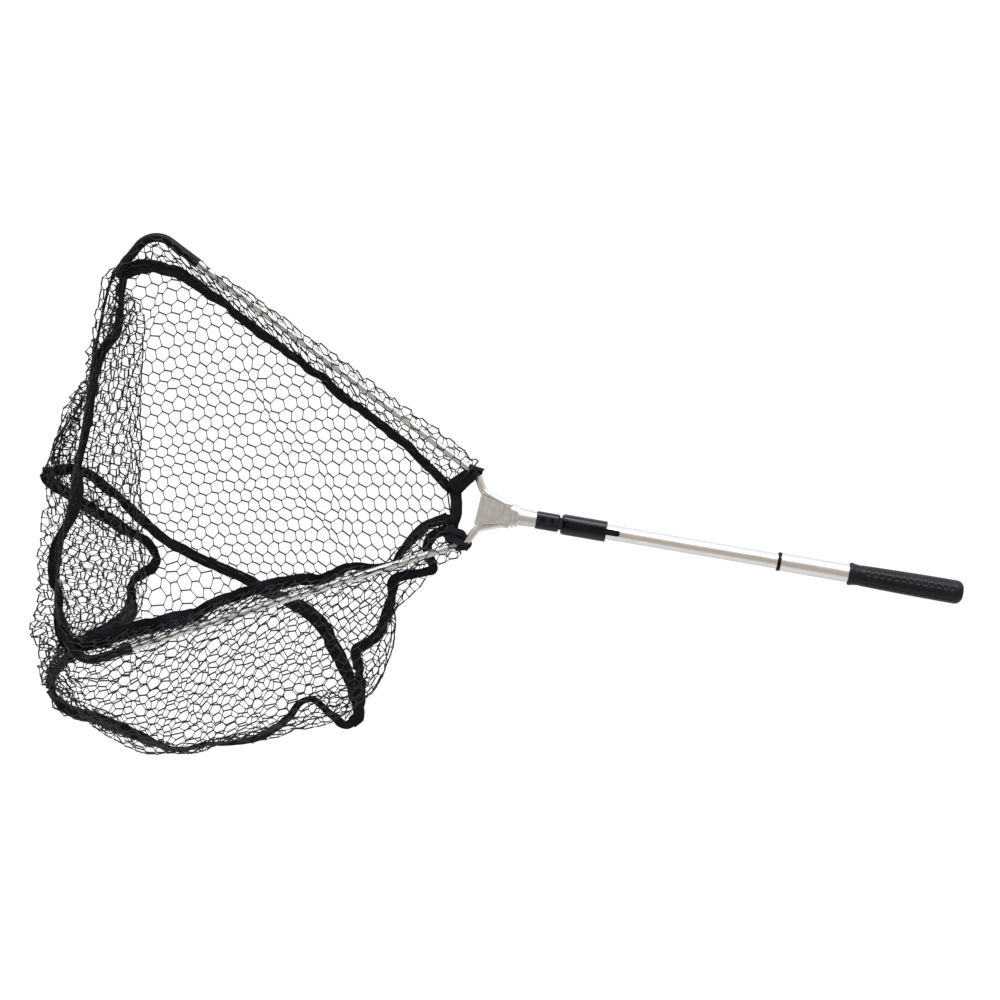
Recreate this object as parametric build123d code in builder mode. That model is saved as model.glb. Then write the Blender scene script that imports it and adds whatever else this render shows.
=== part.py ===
"""Folding landing net: telescopic pole, flip-over head, triangular hoop and rubber-coated net bag.

Frame, in millimetres: +X runs along the pole towards the butt of the grip, +Z is up in the
plane of the hoop, and the bag lies behind the hoop on the +Y side. The origin is on the pole's
axis at the middle of the grip.
"""

import os
from math import atan2, cos, degrees, hypot, sin

from build123d import *

# ---------------------------------------------------------------- driving dimensions
CLEAR = 0.05  # running clearance, on the radius
FIT = 0.02  # gap of a pressed or glued fit, on the radius
BUSH_GAP = 0.03  # gap of a plastic bush or plug in its tube, on the radius

# Pole tubes
OUTER_R, OUTER_FRONT, OUTER_BACK = 12.5, -178.0, 70.0
INNER_R, INNER_FRONT, INNER_BACK = 10.5, -460.0, -152.0
TUBE_WALL = 1.0
OUTER_BORE = OUTER_R - TUBE_WALL
INNER_BORE = INNER_R - TUBE_WALL
COLLAR_LONG, COLLAR_SLEEVE_LONG, COLLAR_R = 5.0, 18.0, 13.2
END_PLUG_LONG, END_PLUG_WALL, PLUG_FLANGE = 14.0, 3.0, 1.6

# Grip
GRIP_FRONT, GRIP_BACK = -82.0, 81.0
GRIP_R = 16.2  # straight barrel of the grip
GRIP_RIM_R, GRIP_WAIST_R = 15.6, 14.5
BARREL_FRONT, BARREL_BACK = -45.0, 70.0
BUTT_FLAT_R, BUTT_ROUND_R, BUTT_THICK = 7.0, 11.5, 9.0
# stations behind the grip's front face: (distance, radius)
GRIP_PROFILE = [
    (0.0, GRIP_RIM_R - 1.2),
    (1.5, GRIP_RIM_R),
    (7.0, GRIP_RIM_R),
    (11.0, GRIP_WAIST_R),
    (19.0, GRIP_WAIST_R),
    (27.0, GRIP_WAIST_R + 0.9),
]

# Twist lock inside the outer tube
EXPANDER_FRONT, EXPANDER_BACK = -150.0, -130.0
CAM_SHAFT_R = 4.0
EXPANDER_SPLIT = 1.6
LOCK_PLUG_LONG, CAM_SHAFT_PROUD = 20.0, 4.0
RETAINER_R, RETAINER_LONG, RETAINER_GAP = 8.0, 3.0, 0.4

# Flip hinge and latch
PIN_X, PIN_Y, PIN_R = -491.0, -15.0, 1.6
HINGE_BARREL_R, HINGE_HALF = 3.5, 8.0
MID_LUG_HALF = 4.0
HOUSING_FRONT, HOUSING_BACK = -490.0, -426.0
HOUSING_TALL, HOUSING_NEAR, HOUSING_FAR, HOUSING_CORNER_R = 29.0, -15.0, 13.0, 12.0
HOUSING_FRONT_ROUND, HOUSING_BACK_ROUND = 4.5, 1.2
PIN_HEAD, PIN_HEAD_PROUD = 0.9, 0.8
HOUSING_PIN_XS, HOUSING_PIN_R = (-452.0, -434.0), 1.4
SLIDER_HALF, SLIDER_NEAR, SLIDER_FAR = 4.3, -14.7, -11.8
SLIDER_FRONT, SLIDER_BACK = -484.5, -407.0
SLIDER_TRAVEL = 6.0
FOOT_THICK, FOOT_REACH = 6.0, 8.2
SLOT_GAP = 0.3
SPRING_WIRE_R, SPRING_COIL_R, SPRING_PITCH = 0.35, 2.8, 2.6

# Knuckle
KNUCKLE_FRONT, KNUCKLE_BACK = -525.5, -492.5
KNUCKLE_TALL, KNUCKLE_DEEP, KNUCKLE_CORNER_R = 25.0, 22.0, 9.0
SCREW_XS, SCREW_Z = (-516.0, -503.0), 1.5
SCREW_HEAD_R, SCREW_SHANK_R, SCREW_RECESS, SCREW_REACH = 3.2, 1.5, 1.8, 9.0

# Yoke casting: (front x, back x, depth along Y, height along Z, corner radius)
YOKE_RINGS = [
    (-571.0, -562.0, 26.0, 37.5, 5.0),
    (-562.0, -560.0, 22.0, 29.0, 9.0),
    (-560.0, -556.0, 25.0, 33.0, 11.0),
    (-556.0, -554.0, 21.0, 27.0, 9.0),
    (-554.0, -551.0, 24.0, 30.0, 11.0),
]
YOKE_DEEP, YOKE_TALL = YOKE_RINGS[0][2:4]
STUB_FRONT, STUB_BACK, STUB_FRONT_R, STUB_BACK_R = -551.0, -525.5, 12.4, 10.9
SPIGOT_R, SPIGOT_BACK = 8.0, -498.0
PLATE_FRONT, PLATE_BACK = -608.0, -571.0
PLATE_FRONT_HALF, PLATE_BACK_HALF = 22.5, 13.5
PLATE_NEAR, PLATE_FAR = 6.8, 9.2  # both cheek plates, measured from the hoop's plane

# Hoop arms, upper one; the lower one mirrors it
ARM_R, ARM_WALL = 5.2, 1.0
PIVOT_X, PIVOT_Z, PIVOT_R, EYE_R, EYE_HALF = -566.0, 11.5, 2.5, 6.0, 6.0
ARM_KNEE = [(-605.0, 26.0), (-617.0, 48.0)]
ARM_KNEE_R = 14.0
ARM_TIP = (-1073.3, 284.0)
ELBOW_R, ELBOW_BEND_R, ELBOW_LAP = 6.5, 32.0, 24.0
ELBOW_CORNER, ELBOW_END = (-1124.0, 310.0), (-1165.0, 236.0)
CORD_R, CORD_SOCKET, CORD_BEND_R = 2.0, 10.0, 60.0
CORD_HALF = [(-1161.1, 243.0), (-1168.4, 229.9), (-1172.4, 190), (-1173.8, 125), (-1173, 62)]
CORD_MIDDLE = (-1175.0, 0.0)

# Plain solids of the netting sleeves round the arms and the cord, and of the ties at their inner ends
SLEEVE_X, SLEEVE_LONG, SLEEVE_GAP, SLEEVE_THICK = -645.0, 427.0, 0.4, 1.3
TIE_X, TIE_LONG, TIE_THICK = -629.0, 14.0, 1.2
FRONT_SLEEVE_X, FRONT_SLEEVE_HALF_LONG, FRONT_SLEEVE_THICK = -1172.5, 205.0, 1.5
FRONT_SLEEVE_HALF_WIDE, FRONT_SLEEVE_HALF_DEEP = 8.0, 6.6

# Net bag: outlines in the hoop's plane (x, z), front to back along each edge of the hoop
NET_THICK = 2.0
TAPE_WIDE, TAPE_THICK = 13.0, 1.0
HEM_Y, MOUTH_Y, BELLY_Y, BASE_Y = 7.6, 9.0, 95.0, 185.0
HEM_UPPER = [(-650, 20), (-732, 76), (-889, 162), (-1046, 244), (-1150, 245)]
HEM_FRONT = [(-1164, 226), (-1170, 118), (-1171, 0), (-1172, -120), (-1154, -266)]
HEM_LOWER = [(-1146, -286), (-1055, -246), (-942, -187), (-837, -138), (-711, -98), (-654, -22)]
BELLY_FRONT = [(-1190, 100), (-1206, 0), (-1211, -100), (-1211, -210), (-1190, -305)]
BELLY_LOWER = [(-1166, -345), (-1080, -392), (-960, -412), (-850, -372), (-762, -262), (-690, -165)]
BASE_UPPER = [(-723, -306), (-767, -233), (-913, -151), (-1051, -105), (-1212, -50)]
BASE_FRONT = [(-1217, -60), (-1100, -112), (-1040, -160), (-1080, -245), (-1157, -346)]
BASE_LOWER = [(-1157, -356), (-1083, -380), (-972, -406), (-861, -373), (-800, -309), (-727, -322)]
CORNER_STATIONS = [(MOUTH_Y, -640, 0), (BELLY_Y, -668, -170), (BASE_Y, -711, -316)]
BOTTOM_GAP = 0.5  # between the walls' last edge and the bottom panel

os.makedirs("parts", exist_ok=True)


def keep(builder, name):
    """Labels a finished piece and writes its file."""
    builder.part.label = name
    export_step(builder.part, f"parts/{name}.step")


def across(y):
    """The plane parallel to the hoop at height y, with local axes X and Z."""
    return Plane.XZ.offset(-y)


def mirrored(points, side):
    """Points (x, z) on the upper side, or on the lower one where side is -1."""
    return [(x, side * z) for x, z in points]


def strip(points, width, shift=0.0):
    """The closed outline of a strip of that width along an open line, moved sideways by shift."""
    left, right = [], []
    for i, (x, z) in enumerate(points):
        ax, az = points[max(i - 1, 0)]
        bx, bz = points[min(i + 1, len(points) - 1)]
        long = hypot(bx - ax, bz - az)
        nx, nz = -(bz - az) / long, (bx - ax) / long
        left.append((x + nx * (shift + width / 2), z + nz * (shift + width / 2)))
        right.append((x + nx * (shift - width / 2), z + nz * (shift - width / 2)))
    return left + right[::-1]


# ---------------------------------------------------------------- pole, fixed part
with BuildPart() as outer_tube:
    with BuildSketch(Plane.YZ.offset(OUTER_FRONT)):
        Circle(OUTER_R)
        Circle(OUTER_BORE, mode=Mode.SUBTRACT)
    extrude(amount=OUTER_BACK - OUTER_FRONT)
keep(outer_tube, "outer_tube")

# Front bush: a collar against the tube's mouth and a sleeve that guides the inner tube
with BuildPart() as collar_ring:
    with BuildSketch(Plane.YZ.offset(OUTER_FRONT - COLLAR_LONG)):
        Circle(COLLAR_R)
    extrude(amount=COLLAR_LONG)
    with BuildSketch(Plane.YZ.offset(OUTER_FRONT)):
        Circle(OUTER_BORE - BUSH_GAP)
    extrude(amount=COLLAR_SLEEVE_LONG)
    with BuildSketch(Plane.YZ.offset(OUTER_FRONT - COLLAR_LONG)):
        Circle(INNER_R + CLEAR)
    extrude(amount=COLLAR_LONG + COLLAR_SLEEVE_LONG, mode=Mode.SUBTRACT)
    fillet(collar_ring.edges().group_by(Axis.X)[0].sort_by(SortBy.LENGTH)[-1], 1.2)
keep(collar_ring, "collar_ring")

with BuildPart() as grip:
    with BuildSketch(Plane.XZ):
        with BuildLine():
            Polyline(
                (GRIP_FRONT, OUTER_R + FIT),
                *[(GRIP_FRONT + behind, r) for behind, r in GRIP_PROFILE],
                (BARREL_FRONT, GRIP_R),
                (BARREL_BACK, GRIP_R),
            )
            RadiusArc((BARREL_BACK, GRIP_R), (GRIP_BACK, BUTT_FLAT_R), BUTT_ROUND_R)
            Polyline(
                (GRIP_BACK, BUTT_FLAT_R),
                (GRIP_BACK, 0),
                (GRIP_BACK - BUTT_THICK, 0),
                (GRIP_BACK - BUTT_THICK, OUTER_R + FIT),
                (GRIP_FRONT, OUTER_R + FIT),
            )
        make_face()
    revolve(axis=Axis.X)
keep(grip, "grip")

# Plug that closes the outer tube under the butt of the grip
with BuildPart() as tube_end_plug:
    with BuildSketch(Plane.YZ.offset(OUTER_BACK - END_PLUG_LONG)):
        Circle(OUTER_BORE - BUSH_GAP)
        Circle(OUTER_BORE - END_PLUG_WALL, mode=Mode.SUBTRACT)
    extrude(amount=END_PLUG_LONG)
    with BuildSketch(Plane.YZ.offset(OUTER_BACK)):
        Circle(OUTER_R - 0.2)
    extrude(amount=PLUG_FLANGE)
keep(tube_end_plug, "tube_end_plug")

# ---------------------------------------------------------------- twist lock
with BuildPart() as lock_expander:
    with BuildSketch(Plane.YZ.offset(EXPANDER_FRONT)):
        Circle(OUTER_BORE - CLEAR)
        Circle(CAM_SHAFT_R + CLEAR, mode=Mode.SUBTRACT)
        with Locations((0, OUTER_BORE / 2)):
            Rectangle(EXPANDER_SPLIT, OUTER_BORE, mode=Mode.SUBTRACT)
    extrude(amount=EXPANDER_BACK - EXPANDER_FRONT)
keep(lock_expander, "lock_expander")

with BuildPart() as lock_plug:
    with BuildSketch(Plane.YZ.offset(INNER_BACK - LOCK_PLUG_LONG)):
        Circle(INNER_BORE - BUSH_GAP)
    extrude(amount=LOCK_PLUG_LONG)
    with BuildSketch(Plane.YZ.offset(INNER_BACK)):
        Circle(INNER_R)
    extrude(amount=PLUG_FLANGE)
    with BuildSketch(Plane.YZ.offset(INNER_BACK)):
        Circle(CAM_SHAFT_R)
    extrude(amount=EXPANDER_BACK + CAM_SHAFT_PROUD - INNER_BACK)
keep(lock_plug, "lock_plug")

with BuildPart() as lock_retainer:
    with BuildSketch(Plane.YZ.offset(EXPANDER_BACK + RETAINER_GAP)):
        Circle(RETAINER_R)
        Circle(CAM_SHAFT_R + FIT, mode=Mode.SUBTRACT)
    extrude(amount=RETAINER_LONG)
    chamfer(lock_retainer.edges().group_by(Axis.X)[-1].sort_by(SortBy.LENGTH)[-1], 0.8)
keep(lock_retainer, "lock_retainer")

with BuildPart() as inner_tube:
    with BuildSketch(Plane.YZ.offset(INNER_FRONT)):
        Circle(INNER_R)
        Circle(INNER_BORE, mode=Mode.SUBTRACT)
    extrude(amount=INNER_BACK - INNER_FRONT)
keep(inner_tube, "inner_tube")

# ---------------------------------------------------------------- flip hinge and latch
HOUSING_MID_Y = (HOUSING_NEAR + HOUSING_FAR) / 2
HOUSING_DEEP = HOUSING_FAR - HOUSING_NEAR
SPRING_BACK = INNER_FRONT - 2.0  # the spring's seat, a wall in front of the inner tube
CAVITY_FRONT = SLIDER_FRONT - 2.0

with BuildPart() as lock_housing:
    with BuildSketch(Plane.YZ.offset(HOUSING_FRONT)):
        with Locations((HOUSING_MID_Y, 0)):
            RectangleRounded(HOUSING_DEEP, HOUSING_TALL, HOUSING_CORNER_R)
    extrude(amount=HOUSING_BACK - HOUSING_FRONT)
    fillet(lock_housing.edges().group_by(Axis.X)[0], HOUSING_FRONT_ROUND)
    fillet(lock_housing.edges().group_by(Axis.X)[-1], HOUSING_BACK_ROUND)
    # hinge barrel and the web that carries it
    with BuildSketch(Plane.XY.offset(-HINGE_HALF)):
        with Locations((PIN_X, PIN_Y)):
            Circle(HINGE_BARREL_R)
        with Locations((PIN_X + 5.0, PIN_Y + 3.35)):
            Rectangle(10.0, 5.3)
    extrude(amount=2 * HINGE_HALF)
    # gap for the knuckle's lug between the two outer lugs
    with BuildSketch(Plane.XY.offset(-MID_LUG_HALF - SLOT_GAP)):
        with Locations((PIN_X - 1.0, PIN_Y + 2.0)):
            Rectangle(2 * HINGE_BARREL_R + 3.0, 15.0)
    extrude(amount=2 * (MID_LUG_HALF + SLOT_GAP), mode=Mode.SUBTRACT)
    with BuildSketch(Plane.XY.offset(-HINGE_HALF)):
        with Locations((PIN_X, PIN_Y)):
            Circle(PIN_R)
    extrude(amount=2 * HINGE_HALF, mode=Mode.SUBTRACT)
    # bore for the inner tube
    with BuildSketch(Plane.YZ.offset(INNER_FRONT)):
        Circle(INNER_R + FIT)
    extrude(amount=HOUSING_BACK - INNER_FRONT, mode=Mode.SUBTRACT)
    # holes for the cross pins in the far wall
    with BuildSketch(across(HOUSING_FAR)):
        with Locations(*[(x, 0) for x in HOUSING_PIN_XS]):
            Circle(HOUSING_PIN_R + FIT)
    extrude(amount=HOUSING_FAR - INNER_R, mode=Mode.SUBTRACT)
    # slot for the slider along the near face, and the cavity for its foot and spring
    with BuildSketch(Plane.XY.offset(-SLIDER_HALF - SLOT_GAP)):
        with Locations(((CAVITY_FRONT + HOUSING_BACK) / 2 + 1.0, SLIDER_FAR + SLOT_GAP - 3.0)):
            Rectangle(HOUSING_BACK - CAVITY_FRONT + 2.0, 6.0)
        with Locations(((CAVITY_FRONT + SPRING_BACK) / 2, (SLIDER_NEAR + FOOT_REACH) / 2)):
            Rectangle(SPRING_BACK - CAVITY_FRONT, FOOT_REACH - SLIDER_NEAR + 2 * SLOT_GAP)
        with Locations(((HOUSING_FRONT + CAVITY_FRONT) / 2 - 0.5, FOOT_REACH / 2)):
            Rectangle(CAVITY_FRONT - HOUSING_FRONT + 2.0, FOOT_REACH + 2 * SLOT_GAP)
    extrude(amount=2 * (SLIDER_HALF + SLOT_GAP), mode=Mode.SUBTRACT)
keep(lock_housing, "lock_housing")

with BuildPart() as hinge_pin:
    with BuildSketch(Plane.XY.offset(-HINGE_HALF)):
        with Locations((PIN_X, PIN_Y)):
            Circle(PIN_R - FIT)
    extrude(amount=2 * HINGE_HALF)
    for end in (-HINGE_HALF - PIN_HEAD, HINGE_HALF):
        with BuildSketch(Plane.XY.offset(end)):
            with Locations((PIN_X, PIN_Y)):
                Circle(PIN_R + PIN_HEAD_PROUD)
        extrude(amount=PIN_HEAD)
keep(hinge_pin, "hinge_pin")

# Two cross pins that hold the housing on the inner tube
with BuildPart() as housing_pins:
    for x in HOUSING_PIN_XS:
        with BuildSketch(across(HOUSING_FAR)):
            with Locations((x, 0)):
                Circle(HOUSING_PIN_R)
        extrude(amount=HOUSING_FAR - INNER_R - 0.05)
keep(housing_pins, "housing_pins")

with BuildPart() as latch_slider:
    with BuildSketch(Plane.XZ.offset(-SLIDER_FAR)):
        with Locations(((SLIDER_FRONT + HOUSING_BACK) / 2, 0)):
            Rectangle(HOUSING_BACK - SLIDER_FRONT, 2 * SLIDER_HALF)
        with Locations(((HOUSING_BACK + SLIDER_BACK) / 2 - 2.0, 0)):
            RectangleRounded(SLIDER_BACK - HOUSING_BACK + 4.0, 2 * SLIDER_HALF, 4.0)
    extrude(amount=SLIDER_FAR - SLIDER_NEAR)
    with BuildSketch(Plane.XY.offset(-SLIDER_HALF + 0.2)):
        with Locations((SLIDER_FRONT + FOOT_THICK / 2, (SLIDER_NEAR + FOOT_REACH) / 2)):
            Rectangle(FOOT_THICK, FOOT_REACH - SLIDER_NEAR)
        with Locations((SLIDER_FRONT - 3.5, FOOT_REACH / 2)):
            Rectangle(7.2, FOOT_REACH)
    extrude(amount=2 * SLIDER_HALF - 0.4)
keep(latch_slider, "latch_slider")

SPRING_FRONT = SLIDER_FRONT + FOOT_THICK
with BuildPart() as latch_spring:
    with BuildLine() as coil:
        Helix(
            pitch=SPRING_PITCH,
            height=SPRING_BACK - SPRING_FRONT - 4 * SPRING_WIRE_R,
            radius=SPRING_COIL_R,
            center=(SPRING_FRONT + 2 * SPRING_WIRE_R, FOOT_REACH / 2, 0),
            direction=(1, 0, 0),
        )
    with BuildSketch(Plane(origin=coil.line @ 0, z_dir=coil.line % 0)):
        Circle(SPRING_WIRE_R)
    sweep(is_frenet=True)
keep(latch_spring, "latch_spring")

# ---------------------------------------------------------------- head: knuckle and yoke
with BuildPart() as knuckle:
    with BuildSketch(Plane.YZ.offset(KNUCKLE_FRONT)):
        RectangleRounded(KNUCKLE_DEEP, KNUCKLE_TALL, KNUCKLE_CORNER_R)
    extrude(amount=KNUCKLE_BACK - KNUCKLE_FRONT)
    fillet(knuckle.edges().group_by(Axis.X)[-1], 3.5)
    fillet(knuckle.edges().group_by(Axis.X)[0], 1.0)
    # middle lug of the flip hinge
    with BuildSketch(Plane.XY.offset(-MID_LUG_HALF)):
        with Locations((PIN_X, PIN_Y)):
            Circle(HINGE_BARREL_R)
        with Locations((PIN_X - 6.0, PIN_Y + 3.5)):
            Rectangle(12.0, 5.6)
    extrude(amount=2 * MID_LUG_HALF)
    with BuildSketch(Plane.XY.offset(-MID_LUG_HALF)):
        with Locations((PIN_X, PIN_Y)):
            Circle(PIN_R + CLEAR)
    extrude(amount=2 * MID_LUG_HALF, mode=Mode.SUBTRACT)
    # socket for the yoke's spigot
    with BuildSketch(Plane.YZ.offset(KNUCKLE_FRONT)):
        Circle(SPIGOT_R + FIT)
    extrude(amount=SPIGOT_BACK + 0.5 - KNUCKLE_FRONT, mode=Mode.SUBTRACT)
    # counterbored screw holes in the near wall
    with Locations(across(-KNUCKLE_DEEP / 2)):
        with Locations(*[(x, SCREW_Z) for x in SCREW_XS]):
            CounterBoreHole(SCREW_SHANK_R + 0.1, SCREW_HEAD_R + 0.3, SCREW_RECESS, depth=5.0)
keep(knuckle, "knuckle")

with BuildPart() as knuckle_screws:
    for x in SCREW_XS:
        with BuildSketch(across(-KNUCKLE_DEEP / 2 + SCREW_RECESS - CLEAR)):
            with Locations((x, SCREW_Z)):
                Circle(SCREW_HEAD_R)
        extrude(amount=1.3)
        with BuildSketch(across(-KNUCKLE_DEEP / 2 + SCREW_REACH)):
            with Locations((x, SCREW_Z)):
                Circle(SCREW_SHANK_R)
        extrude(amount=SCREW_REACH - SCREW_RECESS + CLEAR)
        with BuildSketch(across(-KNUCKLE_DEEP / 2 + 1.0)):
            with Locations((x, SCREW_Z)):
                RegularPolygon(1.5, 6)
        extrude(amount=1.0, mode=Mode.SUBTRACT)
keep(knuckle_screws, "knuckle_screws")

with BuildPart() as yoke_casting:
    for front, back, deep, tall, corner in YOKE_RINGS:
        with BuildSketch(Plane.YZ.offset(front)):
            RectangleRounded(deep, tall, corner)
        extrude(amount=back - front)
    with BuildSketch(Plane.YZ.offset(STUB_FRONT)):
        Circle(STUB_FRONT_R)
    with BuildSketch(Plane.YZ.offset(STUB_BACK)):
        Circle(STUB_BACK_R)
    loft()
    with BuildSketch(Plane.YZ.offset(STUB_BACK)):
        Circle(SPIGOT_R)
    extrude(amount=SPIGOT_BACK - STUB_BACK)
    # slot for the arms' eyes, open to the front, above and below
    with BuildSketch(Plane.XY):
        with Locations(((PLATE_BACK + PIVOT_X + EYE_R + 0.6) / 2 - 0.5, 0)):
            Rectangle(PIVOT_X + EYE_R + 1.6 - PLATE_BACK, 2 * (EYE_HALF + 0.6))
    extrude(amount=YOKE_TALL, both=True, mode=Mode.SUBTRACT)
    # pivot rivet holes
    with BuildSketch(across(0.0)):
        with Locations((PIVOT_X, PIVOT_Z), (PIVOT_X, -PIVOT_Z)):
            Circle(PIVOT_R)
    extrude(amount=YOKE_DEEP, both=True, mode=Mode.SUBTRACT)
    # screw holes in the spigot
    with BuildSketch(across(0.0)):
        with Locations(*[(x, SCREW_Z) for x in SCREW_XS]):
            Circle(SCREW_SHANK_R + 0.05)
    extrude(amount=SCREW_REACH, mode=Mode.SUBTRACT)
keep(yoke_casting, "yoke_casting")

for name, far_side in (("yoke_front_plate", -PLATE_NEAR), ("yoke_back_plate", PLATE_FAR)):
    with BuildPart() as cheek_plate:
        with BuildSketch(across(far_side)):
            with BuildLine():
                Polyline(
                    (PLATE_BACK, PLATE_BACK_HALF),
                    (PLATE_FRONT + 1.0, PLATE_FRONT_HALF),
                    (PLATE_FRONT - 2.0, -PLATE_FRONT_HALF),
                    (PLATE_BACK, -PLATE_BACK_HALF),
                    close=True,
                )
            make_face()
        extrude(amount=PLATE_FAR - PLATE_NEAR)
        fillet(cheek_plate.edges().filter_by(Axis.Y).group_by(Axis.X)[0], 2.0)
    keep(cheek_plate, name)

with BuildPart() as arm_pivot_rivets:
    for z in (PIVOT_Z, -PIVOT_Z):
        with BuildSketch(across(YOKE_DEEP / 2)):
            with Locations((PIVOT_X, z)):
                Circle(PIVOT_R - FIT)
        extrude(amount=YOKE_DEEP)
keep(arm_pivot_rivets, "arm_pivot_rivets")


# ---------------------------------------------------------------- hoop arms, elbows and cord
def arm_plane(side, x):
    """The plane across an arm's straight run at that x, facing its tip."""
    (ax, az), (bx, bz) = mirrored([ARM_KNEE[1], ARM_TIP], side)
    z = az + (bz - az) * (x - ax) / (bx - ax)
    return Plane(origin=(x, 0, z), x_dir=(0, 1, 0), z_dir=(bx - ax, 0, bz - az))


ARM_SLOPE = atan2(ARM_TIP[1] - ARM_KNEE[1][1], ARM_KNEE[1][0] - ARM_TIP[0])
ELBOW_START_X = ARM_TIP[0] + ELBOW_LAP * cos(ARM_SLOPE)
ELBOW_START_Z = ARM_TIP[1] - ELBOW_LAP * sin(ARM_SLOPE)

for word, side in (("upper", 1), ("lower", -1)):
    with BuildPart() as arm:
        with BuildLine(Plane.XZ) as arm_line:
            FilletPolyline(
                *mirrored([(PIVOT_X, PIVOT_Z), *ARM_KNEE, ARM_TIP], side), radius=ARM_KNEE_R
            )
        with BuildSketch(Plane(origin=arm_line.line @ 0, z_dir=arm_line.line % 0)):
            Circle(ARM_R)
            Circle(ARM_R - ARM_WALL, mode=Mode.SUBTRACT)
        sweep()
        with BuildSketch(across(EYE_HALF)):
            with Locations((PIVOT_X, side * PIVOT_Z)):
                Circle(EYE_R)
        extrude(amount=2 * EYE_HALF)
        with BuildSketch(across(EYE_HALF)):
            with Locations((PIVOT_X, side * PIVOT_Z)):
                Circle(PIVOT_R + CLEAR)
        extrude(amount=2 * EYE_HALF, mode=Mode.SUBTRACT)
    keep(arm, f"{word}_arm_tube")

    with BuildPart() as elbow:
        with BuildLine(Plane.XZ) as elbow_line:
            FilletPolyline(
                *mirrored([(ELBOW_START_X, ELBOW_START_Z), ELBOW_CORNER, ELBOW_END], side),
                radius=ELBOW_BEND_R,
            )
        with BuildSketch(Plane(origin=elbow_line.line @ 0, z_dir=elbow_line.line % 0)):
            Circle(ELBOW_R)
        sweep()
        with BuildSketch(arm_plane(side, ELBOW_START_X + 1.0)):
            Circle(ARM_R + FIT)
        extrude(amount=ELBOW_LAP + 1.0 / cos(ARM_SLOPE), mode=Mode.SUBTRACT)
        with BuildSketch(Plane(origin=elbow_line.line @ 1, z_dir=elbow_line.line % 1)):
            Circle(CORD_R + 0.3)
        extrude(amount=-CORD_SOCKET, mode=Mode.SUBTRACT)
    keep(elbow, f"{word}_elbow")

    # netting sleeve that slides over the arm
    with BuildPart() as sleeve:
        with BuildSketch(arm_plane(side, SLEEVE_X)):
            Circle(ARM_R + SLEEVE_GAP + SLEEVE_THICK)
            Circle(ARM_R + SLEEVE_GAP, mode=Mode.SUBTRACT)
        extrude(amount=SLEEVE_LONG)
    keep(sleeve, f"{word}_net_sleeve")

    # tape tie at the inner end of the sleeve
    with BuildPart() as tie:
        with BuildSketch(arm_plane(side, TIE_X)):
            Circle(ARM_R + SLEEVE_GAP + TIE_THICK)
            Circle(ARM_R + SLEEVE_GAP, mode=Mode.SUBTRACT)
        extrude(amount=TIE_LONG)
    keep(tie, f"{word}_tie")

# Front cord between the elbows, a little slack, with its ends in their sockets
with BuildPart() as front_cord:
    with BuildLine(Plane.XZ) as cord_line:
        FilletPolyline(
            *CORD_HALF, CORD_MIDDLE, *mirrored(CORD_HALF[::-1], -1), radius=CORD_BEND_R
        )
    with BuildSketch(Plane(origin=cord_line.line @ 0, z_dir=cord_line.line % 0)):
        Circle(CORD_R)
    sweep()
keep(front_cord, "front_cord")

# Netting sleeve round the front cord
with BuildPart() as front_net_sleeve:
    with BuildSketch(Plane.XY.offset(-FRONT_SLEEVE_HALF_LONG)):
        with Locations((FRONT_SLEEVE_X, 0)):
            Ellipse(FRONT_SLEEVE_HALF_WIDE, FRONT_SLEEVE_HALF_DEEP)
            Ellipse(
                FRONT_SLEEVE_HALF_WIDE - FRONT_SLEEVE_THICK,
                FRONT_SLEEVE_HALF_DEEP - FRONT_SLEEVE_THICK,
                mode=Mode.SUBTRACT,
            )
    extrude(amount=2 * FRONT_SLEEVE_HALF_LONG)
keep(front_net_sleeve, "front_net_sleeve")

# ---------------------------------------------------------------- net bag and its tapes
PANELS = {
    "net_far_wall": [(MOUTH_Y, HEM_UPPER), (BASE_Y, BASE_UPPER)],
    "net_front_wall": [(MOUTH_Y, HEM_FRONT), (BELLY_Y, BELLY_FRONT), (BASE_Y, BASE_FRONT)],
    "net_lower_wall": [(MOUTH_Y, HEM_LOWER), (BELLY_Y, BELLY_LOWER), (BASE_Y, BASE_LOWER)],
}
for name, stations in PANELS.items():
    with BuildPart() as panel:
        for y, line in stations:
            with BuildSketch(across(y)):
                with BuildLine():
                    Polyline(*strip(line, NET_THICK), close=True)
                make_face()
        loft(ruled=True)
    keep(panel, name)

with BuildPart() as net_bottom_panel:
    with BuildSketch(across(BASE_Y + BOTTOM_GAP + NET_THICK)):
        with BuildLine():
            Polyline(*BASE_UPPER, *BASE_FRONT, *BASE_LOWER, close=True)
        make_face()
    extrude(amount=NET_THICK)
keep(net_bottom_panel, "net_bottom_panel")

TAPES = {
    "hem_tape_upper": (HEM_UPPER, HEM_Y),
    "hem_tape_front": (HEM_FRONT, HEM_Y),
    "hem_tape_lower": (HEM_LOWER, HEM_Y),
    "base_tape_upper": (BASE_UPPER, BASE_Y + 3.0),
    "base_tape_lower": (BASE_LOWER, BASE_Y + 4.5),
    "base_tape_front": (BASE_FRONT, BASE_Y + 6.0),
}
for name, (line, y) in TAPES.items():
    with BuildPart() as tape:
        with BuildSketch(across(y + TAPE_THICK)):
            with BuildLine():
                Polyline(*strip(line, TAPE_WIDE), close=True)
            make_face()
        extrude(amount=TAPE_THICK)
    keep(tape, name)

# Corner tape that hangs from the yoke's end of the hoop down to the bottom panel
with BuildPart() as corner_tape:
    for y, x, z in CORNER_STATIONS:
        with BuildSketch(across(y)):
            with Locations((x, z)):
                Rectangle(TAPE_THICK + 0.4, TAPE_WIDE)
    loft(ruled=True)
keep(corner_tape, "corner_tape")

print("hoop arm slope", round(degrees(ARM_SLOPE), 2), "degrees")
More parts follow.
